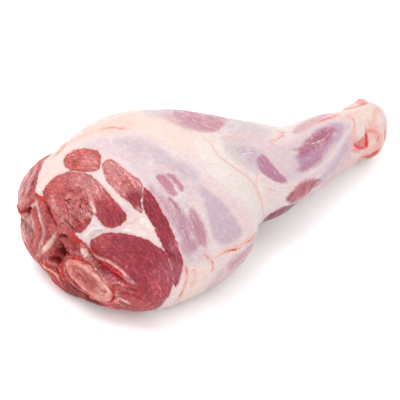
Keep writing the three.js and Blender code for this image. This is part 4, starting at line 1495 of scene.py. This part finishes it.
def mark_fell(marks):
    skin = marks.skin
    straying = rough(skin.points, *PATCH_NOISE)
    for name, (outline, tint, strength, soft) in FELL_PATCHES.items():
        edge = inside(skin, outline) + PATCH_WANDER * soft * straying
        share = smoothstep(edge, -soft, soft) * marks.seen
        tint_towards(marks.fell, marks.colours[tint], share * strength)
        if name in FIBROUS_PATCHES:
            degrees, fibrous = FIBROUS_PATCHES[name]
            marks.align(share > PATCH_GRAIN, degrees)
            marks.fibrous = np.maximum(marks.fibrous, share * fibrous)
    for outline, tint, degrees, clearness in WINDOWS.values():
        edge = np.minimum(inside(skin, outline), (skin.facing + WINDOW_TURN) * FAR)
        marks.windows[edge > -WINDOW_REACH] = marks.colours[tint]
        marks.edges["window"] = np.maximum(marks.edges["window"], edge * clearness)
        marks.align(edge > -WINDOW_GRAIN, degrees)
        marks.height -= WINDOW_DEPTH * smoothstep(edge, *WINDOW_SLOPE)
    mottle(marks)
    for points, width, height, tint, strength in FELL_STROKES.values():
        marks.stroke(marks.places(points), width, height, tint, strength, marks.fell)
    for width, strength, points in VEINS.values():
        marks.line("vein", marks.places(points), width, strength)
    for width, strength, points in SINEWS_AND_GLINTS.values():
        # The sinews, and the glints painted as highlights, go into the same thin pale lines as the seams.
        marks.line("seam", marks.places(points), SINEW_AND_GLINT_WIDTH * width, strength)


def mark_far_side(marks):
    skin = marks.skin
    hidden = 1 - smoothstep(skin.facing, *FAR_SIDE)
    straying = FAR_PATCH_WANDER * noise(skin.points, *FAR_PATCH_NOISE)
    for along, angle, length, width, turn, tint, strength, soft in FAR_PATCHES:
        edge = oval(skin, skin.around(along, angle), length, width, turn) + straying
        share = smoothstep(edge, -soft, soft) * strength * hidden
        tint_towards(marks.fell, marks.colours[tint], share)
    straying = FAR_WINDOW_WANDER * noise(skin.points, *FAR_WINDOW_NOISE)
    for along, angle, length, width, turn, tint in FAR_WINDOWS:
        edge = oval(skin, skin.around(along, angle), length, width, turn) + straying
        edge = np.where(hidden > 0.5, edge, -FAR)
        marks.windows[edge > -FAR_WINDOW_REACH] = marks.colours[tint]
        marks.edges["window"] = np.maximum(marks.edges["window"], edge)
        marks.height -= WINDOW_DEPTH * smoothstep(edge, *WINDOW_SLOPE)
    for width, strength, points in FAR_VEINS:
        places = through([skin.around(*point) for point in points], False, PLACE_STEPS)
        marks.line("vein", places, width, strength)


KNUCKLE_BLEND = (-14, 4)  # mm past the collar's plane where the knuckle's tints start and are whole


def mark_knuckle(marks, beyond):
    skin = marks.skin
    share = smoothstep(beyond, *KNUCKLE_BLEND)
    tint_towards(marks.fell, marks.colours["blush"], share * 0.8)
    patchy = smoothstep(rough(skin.points, *KNUCKLE_NOISE), 0.05, 0.5) * share
    tint_towards(marks.fell, marks.colours["peach"], patchy * 0.6)
    for points, width, height, tint, strength in KNUCKLE_STROKES.values():
        marks.stroke(marks.places(points), width, height, tint, strength, marks.fell)


# The rings of torn tissue round the sawn bone: how far out of its edge and how wide in mm, tint and strength.
BED_RINGS = [
    (1.2, 1.4, "blood", 0.7),
    (4.2, 1.8, "salmon", 0.6),
]
BED_DEPTH = (-14, -8)  # mm past the sawn face's plane where the torn tissue starts and is whole
BED_RIDGE = (1.6, 1.5)  # mm: how far out and how wide
BED_HEIGHT = 1.3  # mm


def mark_bone_bed(marks, plane):
    """The torn tissue round the sawn bone."""
    points = marks.skin.points
    located = plane.locate(points)
    ring = plane.edge(located) + 0.8 * noise(points, *BED_NOISE)
    near = smoothstep(located[:, 2], *BED_DEPTH)
    lumpy = 0.6 + 0.6 * noise(points, *BED_LUMP_NOISE)
    marks.height += BED_HEIGHT * hump(ring + BED_RIDGE[0], BED_RIDGE[1]) * near * lumpy
    for out, width, tint, strength in BED_RINGS:
        tint_towards(marks.flesh, marks.colours[tint], hump(ring + out, width) * near * strength)


# ---- The leg and its knuckle -------------------------------------------------
WHOLE_SKIN = "whole_skin"
SWELLS = {"leg_meat": 0.0, "hip_bone": 0.8, "knuckle_bone": 0.4}  # mm by which each solid is let out
RELAXED = 26  # draws that even out the skin
KEPT_AT_KNUCKLE = 0.75  # how much weaker they are at the knuckle
KNUCKLE_START = (-20, 10)  # mm past the collar's plane over which they weaken
UNDER_BONE = 1.5  # mm that the skin under the bone lies lower than the meat round it
BONE_DEPTH = 12  # mm behind the sawn face past which nothing is let down
FINE_PAST_RIM = -7  # mm past the rim's plane from which the skin has finer squares
FINE_PAST_COLLAR = -6  # and past the collar's


def base_skin(context):
    """One even skin round the leg and its knuckle, let down under the sawn bone."""
    settings = context.scene.lamb_leg
    whole = solid_copy(WHOLE_SKIN, SWELLS)
    remesh(whole, settings.skin_step / MM)
    mesh = whole.data
    mesh.use_fake_user = True
    bpy.data.objects.remove(whole)
    at_knuckle = smoothstep(beyond_collar(points_of(mesh), settings), *KNUCKLE_START)
    relax(mesh, RELAXED, 1 - KEPT_AT_KNUCKLE * at_knuckle)

    plane = SawnPlane(context.scene.lamb_bone)
    points = points_of(mesh)
    located = plane.locate(points)
    under = smoothstep(plane.edge(located), -2.5, 0.0)
    lowered = np.maximum(located[:, 2] + context.scene.lamb_bone.proud / MM + UNDER_BONE, 0)
    lowered[located[:, 2] < -BONE_DEPTH] = 0
    put_points(mesh, points - plane.out * (lowered * under)[:, None])

    at_face = past_rim(points, settings) > FINE_PAST_RIM
    refine(mesh, at_face | (beyond_collar(points, settings) > FINE_PAST_COLLAR))
    relax(mesh, 2)
    return mesh


def past_rim(points, settings):
    """How far points in mm are out past the plane of the cut face's rim."""
    return (points - np.array(settings.rim_place) / MM) @ np.array(settings.rim_outward)


def beyond_collar(points, settings):
    """How far points in mm are past the collar's plane, towards the knuckle."""
    return (points - np.array(settings.collar_place) / MM) @ np.array(settings.collar_axis)


COARSE_STRENGTH = 0.6
BUNDLE_STRETCH = (1.9, 1, 1)
# Of the fibre bundles, and more for each unit of coarseness: the height in mm, and the strength of the
# painted shade in their gaps and of the painted highlight on their crests.
BUNDLE_HEIGHT = (0.5, 1.6)
GAP_SHADE_STRENGTH = (0.2, 0.9)
CREST_HIGHLIGHT_STRENGTH = (0.22, 1.2)
# Heights in mm.
TORN_HEIGHT = 1.5
FELL_HEIGHT = 0.5
FINE_FELL_HEIGHT = 0.3
RESTING = (1, 6)  # mm above the floor where the relief starts and is whole


def raise_texture(marks, face):
    """Raises the fibre bundles, the torn side and the fell's unevenness, and paints shade into the gaps
    between the bundles and highlights on their crests. Gives back how coarse the bundles are."""
    skin = marks.skin
    flesh = smoothstep(marks.edges["flesh"], -0.5, 1.5)
    torn = smoothstep(inside(skin, CUT_ENDS["raw_side"]["outline"]), 0, 6) * smoothstep(face, 0, 8)
    (across, down), radius = COARSE_SPOT
    away = np.hypot(skin.pixels[:, 0] - across, skin.pixels[:, 1] - down)
    coarse = COARSE_STRENGTH * smoothstep(away, radius, radius * 0.4)
    lumpy = rough(marks.grain / BUNDLE_STRETCH, *BUNDLE_NOISE)
    marks.height += torn * TORN_HEIGHT * rough(skin.points, *TORN_NOISE)
    marks.height += flesh * (BUNDLE_HEIGHT[0] + BUNDLE_HEIGHT[1] * coarse) * lumpy
    # Painted shade in the gaps between the bundles, and painted highlights on their crests.
    gap_shade = smoothstep(-lumpy, 0.1, 0.5) * (GAP_SHADE_STRENGTH[0] + GAP_SHADE_STRENGTH[1] * coarse)
    tint_towards(marks.flesh, marks.colours["wine"], gap_shade)
    crest_highlight = smoothstep(lumpy, 0.15, 0.5) * (CREST_HIGHLIGHT_STRENGTH[0] + CREST_HIGHLIGHT_STRENGTH[1] * coarse)
    crest_highlight *= smoothstep(marks.flesh[:, 1], DULL[1], DULL[0])
    marks.flesh *= 1 + (np.array(CREST_HIGHLIGHT) - 1) * crest_highlight[:, None]
    uneven = FELL_HEIGHT * rough(skin.points, *FELL_NOISE)
    uneven += FINE_FELL_HEIGHT * rough(skin.points, *FINE_FELL_NOISE)
    marks.height += (1 - flesh) * uneven
    return coarse


def shape_skin(context):
    """Raises and paints the whole skin of the leg and its knuckle."""
    settings = context.scene.lamb_leg
    mesh = base_skin(context)
    skin = Skin(mesh, view_axes(context.scene.lamb_stage))
    face = past_rim(skin.points, settings)
    beyond = beyond_collar(skin.points, settings)
    marks = Marks(skin, context.scene.lamb_colours)
    mark_fell(marks)
    mark_far_side(marks)
    mark_knuckle(marks, beyond)
    mark_cut_face(marks, face)
    mark_bone_bed(marks, SawnPlane(context.scene.lamb_bone))
    mark_face_strokes(marks)
    coarse = raise_texture(marks, face)

    height = marks.height * settings.relief * smoothstep(skin.points[:, 2], *RESTING)
    points = skin.points + skin.normals * height[:, None]
    points[:, 2] = np.maximum(points[:, 2], 0)
    put_points(mesh, points)

    opaque = np.ones(len(points))
    for name, values in {
        "fell_tint": np.column_stack([marks.fell, opaque]),
        "flesh_tint": np.column_stack([marks.flesh, opaque]),
        "window_tint": np.column_stack([marks.windows, opaque]),
        "grain": marks.grain,
        "flesh": marks.edges["flesh"],
        "window": marks.edges["window"],
        "vein_side": marks.lines["vein"][0],
        "vein": marks.lines["vein"][1],
        "seam_side": marks.lines["seam"][0],
        "seam": marks.lines["seam"][1],
        "dark": marks.dark,
        "fibrous": marks.fibrous,
        "coarse": coarse,
        "beyond": beyond,
        "normal_kept": vectors_of(mesh, "normal"),
    }.items():
        put_attribute(mesh, name, values)
    return mesh


def parted(name, context, is_knuckle):
    """The part of the whole skin before or past the collar, closed round the shank bone's shaft."""
    settings = context.scene.lamb_leg
    whole = bmesh.new()
    whole.from_mesh(bpy.data.meshes.get(WHOLE_SKIN) or shape_skin(context))
    beyond = whole.verts.layers.float["beyond"]
    drop = [face for face in whole.faces if (sum(v[beyond] for v in face.verts) > 0) != is_knuckle]
    bmesh.ops.delete(whole, geom=drop, context="FACES")
    axis = Vector(settings.collar_axis).normalized()
    place = Vector(settings.collar_place)
    for depth in (0, settings.shaft_depth):
        bmesh.ops.extrude_edge_only(whole, edges=[edge for edge in whole.edges if edge.is_boundary])
        rim = {vertex for edge in whole.edges if edge.is_boundary for vertex in edge.verts}
        for vertex in rim:
            offset = vertex.co - place
            offset -= axis * offset.dot(axis)
            vertex.co = place + offset.normalized() * settings.shaft_radius - axis * depth
    end = [edge for edge in whole.edges if edge.is_boundary]
    bmesh.ops.triangulate(whole, faces=bmesh.ops.holes_fill(whole, edges=end, sides=0)["faces"])
    mesh = bpy.data.meshes.new(name)
    whole.to_mesh(mesh)
    whole.free()
    normals = np.empty(len(mesh.vertices) * 3, np.float32)
    mesh.attributes["normal_kept"].data.foreach_get("vector", normals)
    mesh.normals_split_custom_set_from_vertices(normals.reshape(-1, 3).tolist())
    for extra in ("beyond", "normal_kept"):
        mesh.attributes.remove(mesh.attributes[extra])
    mesh.materials.append(tissue_material(name + "_tissue", context.scene.lamb_colours))
    return linked(name, mesh)


class LAMB_OT_leg(bpy.types.Operator):
    """Makes the meat of the leg: its cut muscles, and the fat and fell round them"""

    bl_idname = "lamb.leg"
    bl_label = "Leg Meat"

    def execute(self, context):
        piece = parted("leg_skin", context, False)
        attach(piece, "root")
        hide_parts("leg_meat")
        return {"FINISHED"}


class LAMB_OT_knuckle(bpy.types.Operator):
    """Makes the knuckle at the shank's end, with its tendons"""

    bl_idname = "lamb.knuckle"
    bl_label = "Knuckle"

    def execute(self, context):
        piece = parted("knuckle_skin", context, True)
        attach(piece, "root")
        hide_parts("knuckle_bone")
        return {"FINISHED"}


# ---- The hip bone ------------------------------------------------------------
# How far inside the sawn face's edge each of these starts and is whole, in mm.
CORE_RING = (3.2, 5.0)
SPONGE_RING = (5.0, 6.8)
TORN_RING = (1.0, -0.2)
BONE_FRAY = (0.2, 0.8)


def bone_material(settings):
    """Sawn bone: a hard rim with a torn edge and a pale cap, round a spongy core."""
    surface = Surface("sawn_bone")
    edge = surface.frayed(surface.attribute("edge"), 5, BONE_FRAY, -1.5, 1.5)
    grain = surface.attribute("grain", "Vector")
    pores = surface.lumps(1.8, detail=3.0, spread=0.6, at=grain, stretch=(3.0, 1, 1), bent=0.6)
    rim, core, marrow, cap, torn = (
        tuple(getattr(settings, part)) for part in ("rim", "core", "marrow", "cap", "torn")
    )
    clouds = surface.lumps(3, detail=3.0, spread=0.6)
    ring = surface.blend(surface.step(clouds, 0.42, 0.68, 0.0, 0.5), rim, cap)
    patchy = surface.step(surface.lumps(4), 0.4, 0.6)
    colour = surface.blend(surface.math("MULTIPLY", surface.step(edge, *TORN_RING), patchy), ring, torn)
    colour = surface.blend(surface.step(edge, *CORE_RING, 0.0, 0.8), colour, core)
    spongy = surface.blend(surface.step(pores, 0.4, 0.62), marrow, rim)
    colour = surface.blend(surface.step(edge, *SPONGE_RING), colour, spongy)
    for name, tint in {"heart": marrow, "pallor": cap, "torn": torn}.items():
        colour = surface.blend(surface.attribute(name), colour, tint)
    roughness = surface.step(surface.lumps(3), *MIDDLING, 0.36, 0.52)
    return surface.finish(colour, roughness, pores, 0.5, MOIST)


# The sawn bone's relief in mm: its rim's height, place inside the edge and width, how deep its core lies, and
# how uneven its face and sides are.
RIM_HEIGHT = 0.8
RIM_PLACE = 1.6
RIM_WIDTH = 1.4
CORE_DEPTH = 1.0
CORE_SLOPE = (2, 4.5)
FACE_LUMPS = 0.7
SIDE_LUMPS = 1.1
# Its spots: place along and across the oval, how much narrower across it they are, and radius, in mm.
HEART_SPOT = (2, -0.5, 2.2, 9)
CAP_SPOT = (15, 2, 1.0, 6.5)
TORN_SPOT = (-21, 0, 0.7, 6)


def bone_spot(along, across, spot):
    middle, aside, narrower, radius = spot
    return hump(np.hypot(along - middle, narrower * (across - aside)), radius)


def shape_bone(mesh, plane):
    """Raises the sawn face's rim, sinks its core, makes its sides uneven and marks its spots."""
    points = points_of(mesh)
    located = plane.locate(points)
    along, across, out = located.T
    edge = plane.edge(located)
    uneven = rough(points, *BONE_NOISE)
    height = RIM_HEIGHT * hump(edge - RIM_PLACE, RIM_WIDTH) - CORE_DEPTH * smoothstep(edge, *CORE_SLOPE)
    height = (height + FACE_LUMPS * uneven) * smoothstep(out, -3, -0.5)
    points += plane.out * height[:, None]
    sideways = points - plane.place - plane.out * out[:, None]
    sideways /= np.maximum(np.linalg.norm(sideways, axis=1), 1)[:, None]
    lumps = SIDE_LUMPS * noise(points, *BONE_SIDE_NOISE) * smoothstep(edge, 3, 0)
    points += sideways * lumps[:, None]
    put_points(mesh, points)

    heart = bone_spot(along, across, HEART_SPOT) * smoothstep(edge, 1, 3)
    cap = bone_spot(along, across, CAP_SPOT)
    fringe = smoothstep(across, 3, 7) * smoothstep(along, -12, -3) * smoothstep(edge, 2.6, 1)
    pallor = np.maximum(cap, fringe) * smoothstep(uneven, -0.4, 0.2)
    torn = bone_spot(along, across, TORN_SPOT)
    torn *= smoothstep(noise(points, *BONE_BLOOD_NOISE), -0.2, 0.4)
    put_attribute(mesh, "edge", edge)
    put_attribute(mesh, "grain", located)
    put_attribute(mesh, "heart", 0.6 * heart)
    put_attribute(mesh, "torn", 0.8 * torn)
    put_attribute(mesh, "pallor", 0.8 * pallor)


class LAMB_OT_bone(bpy.types.Operator):
    """Makes the sawn hip bone with its hard rim and spongy core"""

    bl_idname = "lamb.bone"
    bl_label = "Hip Bone"

    def execute(self, context):
        settings = context.scene.lamb_bone
        piece = solid_copy("sawn_bone", {"hip_bone": 0.0})
        remesh(piece, settings.bone_step / MM)
        relax(piece.data, 3)
        shape_bone(piece.data, SawnPlane(settings))
        piece.data.materials.append(bone_material(settings))
        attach(piece, "root")
        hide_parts("hip_bone")
        return {"FINISHED"}


# ---- The add-on --------------------------------------------------------------
class LAMB_PT_panel(bpy.types.Panel):
    """Lists the steps that make the leg of lamb"""

    bl_label = "Raw Leg of Lamb"
    bl_space_type = "VIEW_3D"
    bl_region_type = "UI"
    bl_category = "Lamb"

    def draw(self, context):
        for step in STEPS:
            self.layout.operator(step.bl_idname)


SETTINGS = {
    "lamb_stage": LambStageSettings,
    "lamb_colours": LambColours,
    "lamb_leg": LambLegSettings,
    "lamb_bone": LambBoneSettings,
}
STEPS = (LAMB_OT_leg, LAMB_OT_knuckle, LAMB_OT_bone, LAMB_OT_stage)


def register():
    for name, group in SETTINGS.items():
        bpy.utils.register_class(group)
        setattr(bpy.types.Scene, name, PointerProperty(type=group))
    for step in (*STEPS, LAMB_PT_panel):
        bpy.utils.register_class(step)


def unregister():
    for step in (LAMB_PT_panel, *reversed(STEPS)):
        bpy.utils.unregister_class(step)
    for name, group in reversed(SETTINGS.items()):
        delattr(bpy.types.Scene, name)
        bpy.utils.unregister_class(group)


def main():
    register()
    bpy.ops.lamb.leg()
    bpy.ops.lamb.knuckle()
    bpy.ops.lamb.bone()
    bpy.ops.lamb.stage()
    bpy.data.meshes.remove(bpy.data.meshes[WHOLE_SKIN])


if __name__ == "__main__":
    main()
